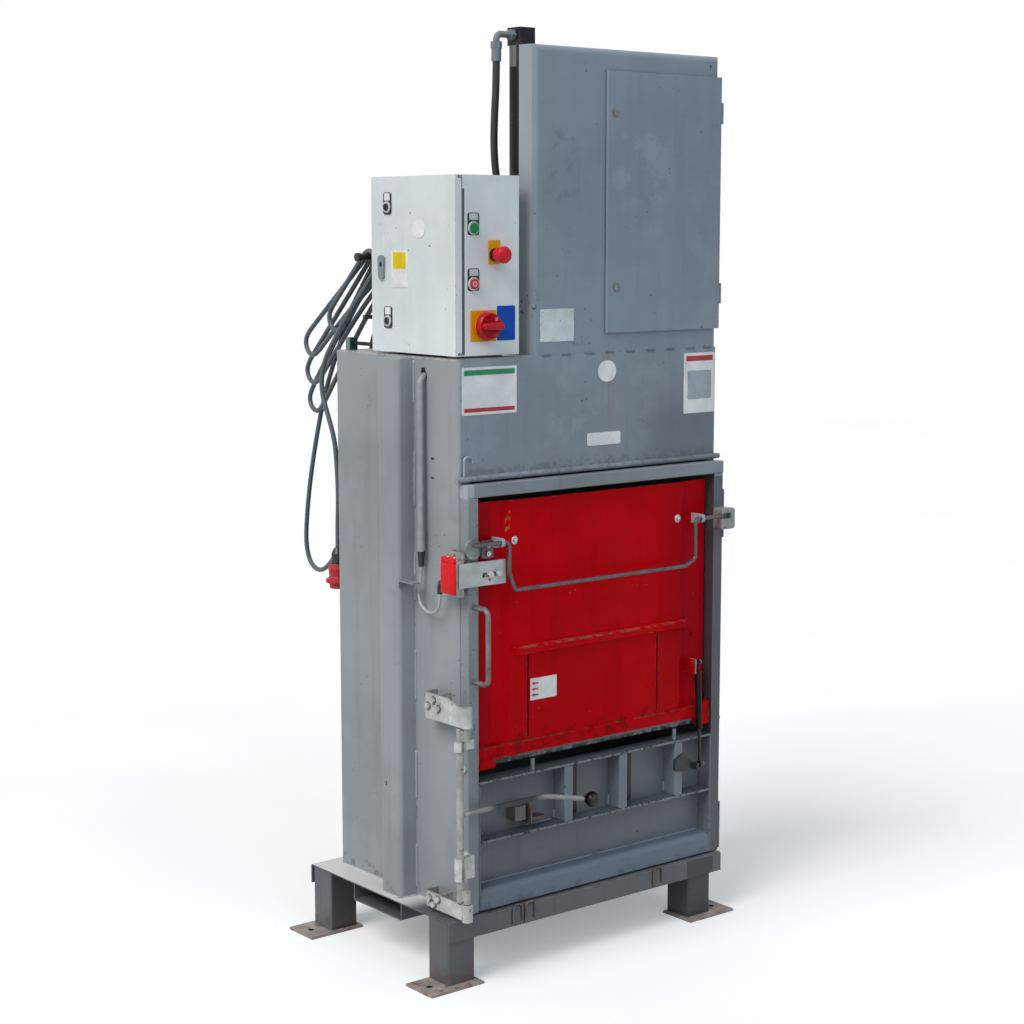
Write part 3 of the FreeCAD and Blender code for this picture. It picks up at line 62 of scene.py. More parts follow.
class Mat:
    """A procedural material. Its methods add nodes and return sockets."""

    def __init__(self, name):
        self.mat = bpy.data.materials.new(name)
        self.mat.use_nodes = True
        self.tree = self.mat.node_tree
        self.bsdf = self.tree.nodes["Principled BSDF"]
        coord = self.tree.nodes.new("ShaderNodeTexCoord")
        self.place = coord.outputs["Object"]
        split = self.tree.nodes.new("ShaderNodeSeparateXYZ")
        self.tree.links.new(self.place, split.inputs[0])
        self.xyz = split.outputs

    def put(self, socket, value):
        if isinstance(value, bpy.types.NodeSocket):
            self.tree.links.new(value, socket)
        else:
            socket.default_value = value

    def calc(self, op, a, b=0.0):
        n = self.tree.nodes.new("ShaderNodeMath")
        n.operation = op
        self.put(n.inputs[0], a)
        self.put(n.inputs[1], b)
        return n.outputs[0]

    def mul(self, *values):
        out = values[0]
        for v in values[1:]:
            out = self.calc("MULTIPLY", out, v)
        return out

    def band(self, value, lo, hi):
        """0 below lo, 1 above hi, smooth between."""
        n = self.tree.nodes.new("ShaderNodeMapRange")
        n.interpolation_type = "SMOOTHSTEP"
        for i, v in enumerate((value, lo, hi)):
            self.put(n.inputs[i], v)
        return n.outputs[0]

    def noise(self, scale, detail=3.0, stretch=(1, 1, 1), shift=0.0):
        m = self.tree.nodes.new("ShaderNodeMapping")
        self.put(m.inputs["Vector"], self.place)
        m.inputs["Scale"].default_value = stretch
        m.inputs["Location"].default_value = (shift, shift * 0.7, shift * 1.3)
        n = self.tree.nodes.new("ShaderNodeTexNoise")
        self.put(n.inputs["Vector"], m.outputs[0])
        n.inputs["Scale"].default_value = scale
        n.inputs["Detail"].default_value = detail
        return n.outputs[0]

    def mix(self, fac, a, b):
        n = self.tree.nodes.new("ShaderNodeMix")
        n.data_type = "RGBA"
        self.put(n.inputs[0], fac)
        self.put(n.inputs[6], a)
        self.put(n.inputs[7], b)
        return n.outputs[2]

    def blend(self, fac, a, b):
        n = self.tree.nodes.new("ShaderNodeMix")
        for i, v in ((0, fac), (2, a), (3, b)):
            self.put(n.inputs[i], v)
        return n.outputs[0]

    def within(self, *spans, soft=0.0002):
        """1 inside the spans: (axis, lo, hi) with axis 0, 1 or 2, in metres."""
        out = None
        for axis, lo, hi in spans:
            one = self.mul(self.band(self.xyz[axis], lo - soft, lo + soft),
                           self.calc("SUBTRACT", 1.0, self.band(self.xyz[axis], hi - soft, hi + soft)))
            out = one if out is None else self.mul(out, one)
        return out

    def edge(self, radius):
        """1 along edges, inner and outer alike, 0 on flats."""
        n = self.tree.nodes.new("ShaderNodeBevel")
        n.samples = 4
        n.inputs["Radius"].default_value = radius
        g = self.tree.nodes.new("ShaderNodeNewGeometry")
        d = self.tree.nodes.new("ShaderNodeVectorMath")
        d.operation = "DOT_PRODUCT"
        self.put(d.inputs[0], n.outputs[0])
        self.put(d.inputs[1], g.outputs["Normal"])
        return self.calc("SUBTRACT", 1.0, self.band(d.outputs["Value"], 0.80, 0.99))

    def bump(self, height, strength, distance):
        n = self.tree.nodes.new("ShaderNodeBump")
        n.inputs["Strength"].default_value = strength
        n.inputs["Distance"].default_value = distance
        self.put(n.inputs["Height"], height)
        last = self.bsdf.inputs["Normal"]
        if last.links:
            self.put(n.inputs["Normal"], last.links[0].from_socket)
        self.put(last, n.outputs[0])

    def done(self, colour, rough, metal=0.0):
        self.put(self.bsdf.inputs["Base Color"], colour)
        self.put(self.bsdf.inputs["Roughness"], rough)
        self.put(self.bsdf.inputs["Metallic"], metal)
        return self.mat


def paint(name, code, stain="4a4640", chip="2a2624", rim="3a3430", wear=0.5, rough=0.40,
          grime=0.35, chips=0.0, gloss=0.4, marks=()):
    """Sprayed machine paint: uneven coat, runs of dirt, chips, worn edges, soft dents."""
    m = Mat(name)
    c = m.mix(m.band(m.noise(2.3, 5.0), 0.36, 0.64), rgb(code, 0.90), rgb(code, 1.09))
    c = m.mix(m.mul(m.band(m.noise(11, 6.0), 0.50, 0.72), 0.30), c, rgb(code, 1.28))
    runs = m.mul(m.band(m.noise(7.0, 6.0, (5, 5, 0.35)), 0.52, 0.74), grime)
    c = m.mix(runs, c, rgb(stain))
    scuff = m.mul(m.band(m.noise(16, 6.0, (1, 1, 2.4), 3.1), 0.56, 0.76), grime * 0.6)
    c = m.mix(scuff, c, rgb(stain, 0.8))
    spots = m.mul(m.band(m.noise(130, 2.0), 0.715 - chips, 0.735 - chips),
                  m.band(m.noise(8, 2.0, shift=1.7), 0.54, 0.62))
    worn = m.mul(m.edge(0.0035), m.band(m.noise(55, 5.0), 0.66 - 0.26 * wear, 0.70 - 0.24 * wear))
    c = m.mix(spots, c, rgb(chip))
    c = m.mix(worn, c, rgb(rim))
    for mask, code2, share in marks:
        c = m.mix(m.mul(mask(m), share), c, rgb(code2))
    r = m.blend(m.band(m.noise(5, 5.0, shift=0.6), 0.35, 0.7), rough - 0.06, rough + 0.14)
    r = m.blend(m.calc("MAXIMUM", spots, worn), r, 0.8)
    m.bump(m.noise(620, 2.0), 0.10, 0.0002)
    m.bump(m.noise(5.0, 1.0), 0.22, 0.0025)
    m.bump(m.calc("SUBTRACT", 1.0, m.calc("MAXIMUM", spots, worn)), 0.4, 0.0003)
    m.bsdf.inputs["Specular IOR Level"].default_value = gloss
    return m.done(c, r)


def zinc(name, code="b4b6ab", rust=0.5, metal=0.35, rough=0.42, stain=0.35, parts=()):
    """Zinc-plated or galvanised steel, dulled, with rust where it has worn."""
    m = Mat(name)
    c = m.mix(m.band(m.noise(38, 5.0), 0.36, 0.66), rgb(code, 1 - 0.6 * stain), rgb(code, 1.08))
    c = m.mix(m.mul(m.band(m.noise(14, 5.0, (1, 1, 0.6), 2.2), 0.50, 0.70), stain), c, rgb(code, 0.45))
    spot = m.mul(m.band(m.noise(46, 6.0, shift=4.4), 0.70 - 0.20 * rust, 0.78 - 0.18 * rust), 0.75)
    c = m.mix(spot, c, rgb("6a4630"))
    worn = m.mul(m.edge(0.0015), m.band(m.noise(80, 3.0), 0.42, 0.6), 0.55)
    c = m.mix(worn, c, rgb("3b332d"))
    for mask, code2, share in parts:
        c = m.mix(m.mul(mask(m), share), c, rgb(code2))
    r = m.blend(m.band(m.noise(30, 4.0), 0.35, 0.7), rough - 0.10, rough + 0.18)
    m.bump(m.noise(240, 4.0), 0.25, 0.0003)
    return m.done(c, r, m.blend(spot, metal, 0.05))


def moulded(name, code, rough=0.32, fine=900, parts=(), grub=0.25, gloss=0.5):
    """Moulded plastic: faint flow marks, fingered dirt and a fine skin."""
    m = Mat(name)
    c = m.mix(m.band(m.noise(18, 4.0), 0.35, 0.65), rgb(code, 0.90), rgb(code, 1.08))
    for mask, code2, share in parts:
        c = m.mix(m.mul(mask(m), share), c, rgb(code2))
    c = m.mix(m.mul(m.band(m.noise(60, 5.0, shift=2.0), 0.55, 0.75), grub), c, rgb("3a3430"))
    c = m.mix(m.mul(m.edge(0.0012), 0.35), c, rgb(code, 1.35))
    r = m.blend(m.band(m.noise(26, 4.0), 0.35, 0.7), rough - 0.08, rough + 0.14)
    m.bump(m.noise(fine, 2.0), 0.12, 0.0002)
    m.bsdf.inputs["Specular IOR Level"].default_value = gloss
    return m.done(c, r)


def box_of(*spans, soft=0.0002):
    """A box given by its spans."""
    return lambda m: m.within(*spans, soft=soft)


def ragged_patch(scale, lo, hi, *spans, soft=0.004, shift=0.0):
    """A ragged patch inside the spans."""
    return lambda m: m.mul(m.within(*spans, soft=soft), m.band(m.noise(scale, 6.0, shift=shift), lo, hi))


def round_of(a, b, centre, r, *span):
    """A disc of radius r in axes a and b, inside the spans."""
    def mask(m):
        u, v = m.calc("SUBTRACT", m.xyz[a], centre[0]), m.calc("SUBTRACT", m.xyz[b], centre[1])
        far = m.calc("SQRT", m.calc("ADD", m.mul(u, u), m.mul(v, v)))
        return m.mul(m.within(*span), m.calc("SUBTRACT", 1.0, m.band(far, r - 0.0006, r + 0.0006)))
    return mask


X, Y, Z = 0, 1, 2
STRAP_BOLTS = ((-0.176, 0.640), (-0.172, 0.191), (-0.158, 0.657),
               (-0.157, 0.176), (-0.140, 0.187), (-0.138, 0.641))         # Y and Z
FOOT_HOLES = [(x, y) for x in (-0.447, 0.447) for y in (-0.208, 0.282)]    # X and Y
WALL_SKIN = (X, -0.3515, -0.3485)
WALL_DASH = (Y, -0.1060, -0.0940)
RIB_TOP = (Y, -0.2272, -0.180)
GUSSET_GAP = ((Y, -0.1885, -0.1850), (Z, 0.327, 0.4595))
BRACKET_SLOT = ((Y, -0.2450, -0.2435), (Z, 0.9425, 0.9535))
LEGEND = ((X, -0.3125, -0.2855), (Y, -0.1897, -0.187))
LEGEND_FIELD = ((X, -0.3112, -0.2868), (Y, -0.190, -0.188))
mats = {
    "body": paint("grey_side_paint", "9ba0a4", wear=0.25, grime=0.12, marks=(
        (box_of(WALL_SKIN, WALL_DASH, (Z, 1.1985, 1.2035), soft=0.0010), "15171a", 0.95),
        (box_of(WALL_SKIN, WALL_DASH, (Z, 1.1545, 1.1590), soft=0.0010), "15171a", 0.95),
        (ragged_patch(40, 0.50, 0.62, (Z, 0.157, 0.185), soft=0.012), "5a4a40", 0.5),
        (ragged_patch(60, 0.40, 0.55, (Y, -0.166, -0.152), (Z, 0.764, 0.780), soft=0.004), "c2b59a", 0.8),
        # painted shade: a black patch for the hole in the wall above the conduit
        (box_of(WALL_SKIN, (Y, -0.0750, -0.0590), (Z, 1.380, 1.4055), soft=0.0010), "050506", 1.0),
        (box_of((X, -0.402, -0.396), (Y, 0.020, 0.026), (Z, 0.420, 0.431), soft=0.002), "1d1f22", 0.9),
    )),
    "collar": paint("collar_paint", "8f98a1", wear=0.35, grime=0.14, marks=(
        (ragged_patch(24, 0.36, 0.62, (X, 0.094, 0.101), (Z, 1.16, 1.43), soft=0.0045), "8a6f5c", 0.40),
        (ragged_patch(60, 0.46, 0.60, (Z, 1.157, 1.185), soft=0.010), "4f4438", 0.35),
        (ragged_patch(18, 0.50, 0.66, (X, -0.10, 0.30), (Z, 1.22, 1.40), soft=0.05, shift=5.0), "a3abb0", 0.4),
        # painted shade: the collar's lower right part darkened, with soft edges
        (box_of((X, 0.20, 0.50), (Z, 1.10, 1.34), soft=0.09), "4d5863", 0.55),
    )),
    "ledge": paint("ledge_paint", "b6b2b0", rim="6b5f58", wear=0.6, grime=0.25),
    "tower": paint("tower_paint", "8996a3", wear=0.2, grime=0.10, marks=(
        (ragged_patch(26, 0.50, 0.66, (X, -0.09, -0.01), (Z, 1.78, 1.95), soft=0.03, shift=1.0), "545c65", 0.35),
        # painted light: the tower cover's left face made paler, as lit from the left
        (box_of((X, -0.1325, -0.1312)), "b3b8b6", 0.5),
        (ragged_patch(14, 0.48, 0.60, (X, 0.10, 0.28), (Z, 1.78, 1.95), soft=0.05, shift=2.0), "a0acb6", 0.5),
        (ragged_patch(90, 0.56, 0.62, (X, -0.05, 0.05), (Z, 1.450, 1.470), soft=0.004, shift=3.0), "3e444a", 0.5),
        (ragged_patch(90, 0.60, 0.66, (X, -0.14, -0.12), (Z, 1.52, 1.58), soft=0.006, shift=3.0), "2e3338", 0.8),
    )),
    "door": paint("door_paint", "8b9298", rim="3b322a", wear=0.6, grime=0.18, marks=(
        (ragged_patch(95, 0.61, 0.66, (X, -0.349, -0.317), (Z, 0.55, 1.12), soft=0.006, shift=2.0), "6b5a4a", 0.6),
        (ragged_patch(34, 0.52, 0.62, (Z, 0.155, 0.178), soft=0.006), "2e2926", 0.7),
        (box_of((Z, 0.158, 0.214), (X, -0.3133, 0.4133), soft=0.0008), "606e7c", 0.75),
        # painted shade: the right stile's inner face, beside the flap, darkened
        (box_of((X, 0.4172, 0.4188), (Z, 0.46, 1.1215)), "3a383d", 0.88),
        (box_of((X, -0.3490, -0.3300), (Z, 1.1200, 1.1520), soft=0.002), "bfc6cc", 0.7),
        # painted shade: the right stile's front face darkened
        (box_of((X, 0.4190, 0.4490), (Y, -0.2300, -0.2270), (Z, 0.16, 1.115), soft=0.001), "3c4046", 0.75),
    )),
    "ribs": paint("rib_paint", "7c858e", rim="141414", chip="141414", wear=0.8, grime=0.25, marks=(
        (box_of((Z, 0.4652, 0.4680), RIB_TOP, soft=0.0006), "4a4f56", 0.75),
        (box_of((Z, 0.3252, 0.3275), RIB_TOP, soft=0.0006), "4a4f56", 0.75),
        (ragged_patch(120, 0.56, 0.60, (Y, -0.2300, -0.2180), (Z, 0.4600, 0.4672), soft=0.0006, shift=1.0),
         "15140f", 0.9),
        (ragged_patch(120, 0.55, 0.59, (Y, -0.2300, -0.2160), (Z, 0.3195, 0.3272), soft=0.0006, shift=2.0),
         "17150f", 0.9),
    )),
    "lip": paint("lip_paint", "7c7f83", chip="101112", rim="14110e", wear=1.0, grime=0.5, chips=0.04, marks=(
        # black ragged patches over the lip's lower part and its left end
        (ragged_patch(55, 0.45, 0.50, (Z, 0.488, 0.5025), soft=0.003), "0d0c0b", 0.92),
        (ragged_patch(40, 0.42, 0.47, (X, -0.27, -0.19), soft=0.010, shift=2.0), "0d0c0b", 0.92),
    )),
    "panel": paint("lower_panel_paint", "72767d", wear=0.4, grime=0.22, marks=(
        # painted shade: near-black strips for the slots beside the gussets
        (box_of((X, -0.003, 0.0115), *GUSSET_GAP, soft=0.0015), "08090a", 0.97),
        (box_of((X, 0.171, 0.186), *GUSSET_GAP, soft=0.0015), "08090a", 0.97),
    )),
    "base": paint("base_paint", "5f6265", rim="3a2f26", wear=0.5, grime=0.28, marks=(
        (ragged_patch(30, 0.46, 0.60, (Z, 0.15, 0.16), soft=0.003), "4b4038", 0.4),
        (ragged_patch(22, 0.48, 0.62, (Z, 0.0, 0.05), soft=0.03, shift=2.0), "5b463a", 0.6),
        # painted light: the tray's top face at the left made pale, as lit from above
        (lambda m: m.mul(m.within((Z, 0.1562, 0.1580), soft=0.0003),
                         m.within((X, -0.60, -0.30), (Y, -0.08, 0.60), soft=0.04)), "e2e2df", 0.9),
        # painted shade: a face low at the rear left, under the base, darkened
        (box_of((X, -0.42, -0.33), (Y, 0.2425, 0.2448), (Z, 0.004, 0.153)), "2f2a28", 0.7),
        # painted shade: the right legs darkened
        (box_of((X, 0.33, 0.42), (Z, 0.004, 0.153)), "2f3337", 0.75),
    )),
    "box": paint("enclosure_paint", "eaf1f3", stain="8f928c", chip="5a5a56", rim="b9bebb", wear=0.12,
                 rough=0.34, grime=0.06, marks=(
        (box_of((X, -0.3292, -0.3240), (Y, -0.1885, -0.1870), (Z, 1.4385, 1.806), soft=0.0006),
         "20262b", 0.97),
        (box_of((X, -0.3545, -0.3492), (Y, 0.0545, 0.0815)), "d2d7da", 1.0),
        (box_of((X, -0.3555, -0.3492), (Y, 0.0790, 0.1030)), "87929a", 1.0),
    )),
    "red": paint("red_paint", "d1000f", stain="6a0006", chip="7c6a4a", rim="8d7b52", wear=0.34,
                 rough=0.38, grime=0.14, gloss=0.06, marks=(
        (ragged_patch(60, 0.50, 0.55, (Y, -0.230, -0.214), (Z, 0.761, 0.768), soft=0.0006), "9a6a50", 0.8),
        (ragged_patch(60, 0.50, 0.55, (Y, -0.219, -0.205), (Z, 0.537, 0.5415), soft=0.0006, shift=2.0),
         "6b4a38", 0.8),
        (ragged_patch(70, 0.52, 0.60, (X, -0.226, -0.214), (Z, 1.035, 1.085), soft=0.002, shift=1.0),
         "c08a3e", 0.6),
        (ragged_patch(60, 0.42, 0.56, (Z, 1.1415, 1.16), soft=0.0006), "a08a50", 0.85),
        (ragged_patch(34, 0.48, 0.60, (Z, 0.50, 0.56), soft=0.01, shift=3.0), "4c0a08", 0.4),
        # painted shade: the flap's left strip darkened beside the stile
        (box_of((X, -0.320, -0.262), (Z, 0.55, 1.10), soft=0.004), "a0051a", 0.5),
        # painted shade: the flap's right side darkened, fading in towards the middle
        (box_of((X, 0.270, 0.50), (Z, 0.60, 1.10), soft=0.06), "98001a", 0.45),
        (box_of((Y, -0.262, -0.2165), (Z, 1.001, 1.029)), "a9b2ba", 1.0),
        (box_of((X, 0.3552, 0.40), (Y, -0.236, -0.2135), (Z, 0.627, 0.664)), "b4babd", 1.0),
    )),
    "black": paint("cylinder_paint", "1f252c", stain="4b3429", chip="7d8890", rim="6b7178", wear=0.4,
                   rough=0.42, grime=0.25, gloss=0.2, marks=(
        (ragged_patch(12, 0.45, 0.62, (X, -0.03, 0.03), (Z, 1.43, 2.16), soft=0.01), "5c4438", 0.6),
        (box_of((Z, 2.10, 2.2), (X, -0.05, 0.0165)), "8d9598", 0.9),
    )),
    "dark": paint("machine_black", "2c2f33", stain="463a30", chip="8a8f94", rim="6b7178",
                  wear=0.3, rough=0.45),
    "clean_zinc": zinc("clean_zinc", "bcc2c1", rust=0.12, metal=0.2, stain=0.2, parts=(
        # painted shade: two dark slots on the bracket, the second dark red
        (box_of((X, -0.3185, -0.3065), *BRACKET_SLOT, soft=0.0006), "1a1416", 0.95),
        (box_of((X, -0.2905, -0.2805), *BRACKET_SLOT, soft=0.0006), "5c1216", 0.95),
        (box_of((Y, -0.2520, -0.2445), (Z, 0.940, 0.956)), "d5d7d8", 0.9),
    )),
    "straps": zinc("worn_straps", "d2d6d3", rust=0.32, metal=0.12, parts=[
        # painted shade: dark rings on the straps around the bolt heads
        (round_of(Y, Z, at, 0.0105, (X, -0.3946, -0.3934)), "3f3e3b", 0.8) for at in STRAP_BOLTS]),
    "catch": zinc("catch_zinc", "969a97", rust=0.55, metal=0.25, parts=(
        (box_of((X, -0.27, -0.09), (Z, 0.32, 0.43)), "54524f", 0.9),
        (ragged_patch(60, 0.36, 0.50, (X, -0.163, -0.108), (Z, 0.335, 0.395)), "5a3524", 0.9),
        (box_of((X, 0.28, 0.3706), (Z, 0.37, 0.44)), "202729", 0.95),
    )),
    "bail": zinc("bail_steel", "5f5b5e", rust=0.2, metal=0.5, rough=0.30),
    "handle": zinc("handle_steel", "797a7c", rust=0.8, metal=0.45),
    "hoops": zinc("hoop_wire", "5f5a56", rust=0.9, metal=0.4, parts=(
        (box_of((Z, 1.1, 1.3)), "9aa5b0", 0.95),)),
    "crank": zinc("crank_tube", "adafa9", rust=0.6, metal=0.12, parts=(
        (box_of((X, -0.366, -0.06), (Z, 0.385, 0.425), soft=0.004), "7c7f7e", 0.85),
        # the lever's middle painted near black: partly its dark steel, partly a painted dark reflection
        (box_of((X, -0.300, -0.160), (Z, 0.385, 0.430), soft=0.018), "1c242b", 0.95),
        (box_of((X, -0.0690, -0.03), (Y, -0.335, -0.290), (Z, 0.37, 0.43)), "060708", 1.0),
    )),
    "bright": zinc("bright_steel", "b9bcbe", rust=0.1, metal=0.85, rough=0.26),
    "rod": zinc("ground_rod", "cfd2d4", rust=0.0, metal=0.95, rough=0.16),
    "foot": zinc("rusty_plate", "a79b95", rust=0.7, metal=0.1, rough=0.7, parts=[
        # painted shade: black discs for the anchor holes in the foot plates
        (round_of(X, Y, at, 0.0075, (Z, -0.001, 0.0072)), "0b0a09", 1.0) for at in FOOT_HOLES]),
    "conduit": zinc("conduit_pipe", "989da0", rust=0.08, stain=0.15, metal=0.2, parts=(
        (box_of((Z, 0.950, 0.987)), "1d1f21", 0.95),)),
    "fittings": zinc("box_fittings", "a8aba8", rust=0.3, parts=(
        (box_of((X, -0.3345, -0.311), (Y, 0.245, 0.27)), "00594e", 1.0),
        (box_of((X, -0.33, -0.318), (Y, 0.134, 0.249), (Z, 1.44, 1.453)), "1b1d1f", 1.0),
        (box_of((Y, 0.134, 0.163), (X, -0.25, -0.22)), "26282a", 1.0),
    )),
    "brackets": zinc("wall_brackets", "a9aba2", rust=0.6, metal=0.2, parts=(
        (box_of((X, -0.40, -0.37), (Z, 0.89, 0.92)), "878d91", 0.9),)),
    "inside": moulded("switchgear", "2b2e31", parts=(
        (box_of((X, -0.1831, -0.17)), "b5b8b4", 1.0),
        (box_of((X, -0.1906, -0.1825)), "c4b23a", 0.8),
    )),
    "labels": moulded("panel_labels", "d3d9dc", grub=0.06, gloss=0.15, parts=(
        (box_of(*LEGEND, (Z, 1.612, 1.630)), "17191c", 1.0),
        (box_of(*LEGEND, (Z, 1.735, 1.753)), "17191c", 1.0),
        (box_of(*LEGEND_FIELD, (Z, 1.6140, 1.6284)), "e6edf3", 1.0),
        (box_of(*LEGEND_FIELD, (Z, 1.7370, 1.7514)), "e6edf3", 1.0),
        (box_of((X, -0.310, -0.2345), (Z, 1.46, 1.54)), "f2a400", 1.0),
        (box_of((X, -0.260, -0.222), (Z, 1.636, 1.70)), "f2ac00", 1.0),
        (box_of((X, -0.257, -0.225), (Y, -0.196, -0.1899), (Z, 1.644, 1.676)), "17181a", 1.0),
        (box_of((X, -0.2342, -0.18), (Z, 1.46, 1.55)), "004fb8", 1.0),
    )),
    "switch_red": moulded("switch_housing", "f0101e", rough=0.45, grub=0.12, gloss=0.25),
    "stop": moulded("stop_red", "d81228", rough=0.36, grub=0.10, gloss=0.3),
    "turn": moulded("turn_switch_red", "c00a1e", rough=0.28, grub=0.08, gloss=0.3, parts=(
        (box_of((X, -0.2545, -0.2480), (Y, -0.2145, -0.2105), (Z, 1.514, 1.521), soft=0.0008),
         "f3d9a8", 1.0),)),
    "green": moulded("button_green", "068a4a", rough=0.30, grub=0.1, gloss=0.25),
    "red_button": moulded("button_red", "d42a32", rough=0.30, grub=0.1, gloss=0.25),
    "plug": moulded("plug_red", "c4121f", rough=0.35, parts=((box_of((Z, 0.905, 0.95)), "1b1c1e", 1.0),)),
    "sheet_white": moulded("white_vinyl", "f4f6f8", rough=0.30, grub=0.07),
    "vinyl_grey": moulded("grey_vinyl", "aab2ba", rough=0.30, grub=0.25),
    "vinyl_green": moulded("green_vinyl", "3d9a6c", rough=0.30, grub=0.2, gloss=0.2),
    "vinyl_red": moulded("red_vinyl", "c5414a", rough=0.30, grub=0.2, gloss=0.2),
    "vinyl_yellow": moulded("yellow_vinyl", "f4d200", rough=0.30, grub=0.08, gloss=0.15),
    "tape": zinc("rating_plate", "d3dcde", rust=0.0, metal=0.1, rough=0.34, stain=0.12),
    "hook": moulded("hook_black", "1d1f21", rough=0.5),
    "cable": moulded("cable_rubber", "58636b", rough=0.36, fine=500, grub=0.3),
    "hose": moulded("hose_rubber", "332f2d", rough=0.55, fine=700, grub=0.5),
    "sleeve": moulded("pale_sleeve", "c3c6c2", rough=0.45, grub=0.35),
    "bead": paint("weld_paint", "9da5ac", wear=0.2, grime=0.15, rough=0.42),
    "pale_bead": paint("seam_filler", "c3c8cb", wear=0.2, grime=0.3, rough=0.5),
    "dark_plate": moulded("legend_plate", "14161a", rough=0.35, grub=0.1),
    "ink": moulded("red_ink", "b5202c", rough=0.35, grub=0.2),
    "nitrided": zinc("nitrided_rod", "141517", rust=0.0, metal=0.2, rough=0.30),
    "stud": zinc("lock_steel", "7b8084", rust=0.1, metal=0.7, rough=0.3),
    "ball": moulded("ball_black", "07080a", rough=0.22, grub=0.05, gloss=0.22),
    "key": zinc("key_steel", "4a4d50", rust=0.1, metal=0.7, rough=0.3),
    "dark_bead": paint("weld_dark", "6c7781", wear=0.3, grime=0.4, rough=0.5),
    "strut": moulded("strut_black", "0b0b0d", rough=0.3, grub=0.1, gloss=0.15),
}
# the CAD nodes that each material goes on
finish = {
    "body": "wall_left chamber_walls side_post fixed_hinges", "ledge": "top_plate", "collar": "collar",
    "tower": "tower_cover service_door", "base": "base_tray legs", "foot": "foot_plates",
    "hoops": "wire_loops", "black": "cylinder", "hose": "hydraulic_hose", "dark": "power_unit",
    "box": "control_box control_door", "fittings": "box_fittings", "labels": "panel_plates",
    "inside": "box_internals", "conduit": "conduit", "brackets": "wall_brackets",
    "switch_red": "safety_switch", "sleeve": "switch_flex", "straps": "strap_eyes crank_lugs",
    "hook": "cable_hook", "cable": "cable_hank cable_drop cable_tail", "plug": "plug",
    "door": "door_stile_left door_stile_right door_rail_top door_hinges door_sill",
    "panel": "door_lower_panel", "ribs": "door_ribs", "handle": "d_handle",
    "catch": "door_catches", "clean_zinc": "flap_pivots actuator_bracket", "crank": "lock_crank",
    "red": "flap_panel flap_rail flap_lugs", "bail": "bail", "rod": "ram", "nitrided": "strut_rod",
    "stud": "lock_low lock_high", "key": "key_turn_1 key_turn_2 box_lock", "green": "button_green",
    "red_button": "button_red", "stop": "stop_button", "turn": "main_switch", "strut": "strut_tube",
}
for key, names in finish.items():
    for name in names.split():
        data = nodes[name].data
        data.materials.clear()
        data.materials.append(mats[key])


# ---- shapes -----------------------------------------------------------------------------
def piece(name, bm, mat, body, smooth=True):
    """Object from a finished bmesh, riding on a body."""
    mesh = bpy.data.meshes.new(name)
    bm.to_mesh(mesh)
    bm.free()
    for p in mesh.polygons:
        p.use_smooth = smooth
    obj = bpy.data.objects.new(name, mesh)
    mesh.materials.append(mats[mat])
    scene.collection.objects.link(obj)
    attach(obj, body)
    return obj


def plate(name, centre, size, facing, mat, body, slot, t=0.0008, r=0.003, jag=0.0):
    """Thin sheet with rounded corners on a wall that faces -Y or -X.
    jag tears its top or, below 0, its lower edge."""
    (w, h), bm = size, bmesh.new()
    rng, rim = random.Random(name), []
    for cx, cz, a0 in ((1, 1, 0), (-1, 1, 90), (-1, -1, 180), (1, -1, 270)):
        for i in range(6):
            a = math.radians(a0 + 18 * i)
            rim.append((cx * (w / 2 - r) + r * math.cos(a), cz * (h / 2 - r) + r * math.sin(a)))
        if jag and cx == cz == (1 if jag > 0 else -1):
            n = max(16, int(w / 0.004))
            for i in range(1, n):
                rim.append((cx * (w / 2 - r - (w - 2 * r) * i / n),
                            cz * h / 2 - (i % 2) * jag * rng.uniform(0.2, 1)))
    lower = [bm.verts.new((x, 0, z)) for x, z in rim]
    upper = [bm.verts.new((x, -t, z)) for x, z in rim]
    inner = [bm.verts.new((x * (1 - 0.6 * t / w), -t * 1.25, z * (1 - 0.6 * t / h))) for x, z in rim]
    for a, b in ((lower, upper), (upper, inner)):
        for i in range(len(rim)):
            j = (i + 1) % len(rim)
            bm.faces.new((a[i], a[j], b[j], b[i]))
    bm.faces.new(inner)
    bm.faces.new(lower[::-1])
    bmesh.ops.recalc_face_normals(bm, faces=bm.faces)
    turn = Matrix.Rotation(math.radians(-90), 4, "Z") if facing == "-X" else Matrix()
    bm.transform(Matrix.Translation(centre) @ turn)
    return piece(name, bm, mat, body, smooth=False)


def beads(name, runs, r, mat, body):
    """Weld beads along straight runs (start, end), uneven as laid by hand."""
    bm, rng = bmesh.new(), random.Random(name)
    for a, b in runs:
        a, b = Vector(a), Vector(b)
        d = (b - a).normalized()
        u = d.orthogonal().normalized()
        w = d.cross(u)
        n = max(4, int((b - a).length / (r * 0.9)))
        last = None
        for i in range(n + 1):
            s = r * (0.25 if i in (0, n) else rng.uniform(0.78, 1.12) * (1.0 if i % 2 else 0.86))
            c = a.lerp(b, i / n) + (u * rng.uniform(-1, 1) + w * rng.uniform(-1, 1)) * r * 0.10
            rim = [bm.verts.new(c + (u * math.cos(k * math.pi / 4) + w * math.sin(k * math.pi / 4)) * s)
                   for k in range(8)]
            if last:
                for k in range(8):
                    bm.faces.new((last[k], last[(k + 1) % 8], rim[(k + 1) % 8], rim[k]))
            else:
                bm.faces.new(rim[::-1])
            last = rim
        bm.faces.new(last)
    bmesh.ops.recalc_face_normals(bm, faces=bm.faces)
    return piece(name, bm, mat, body)


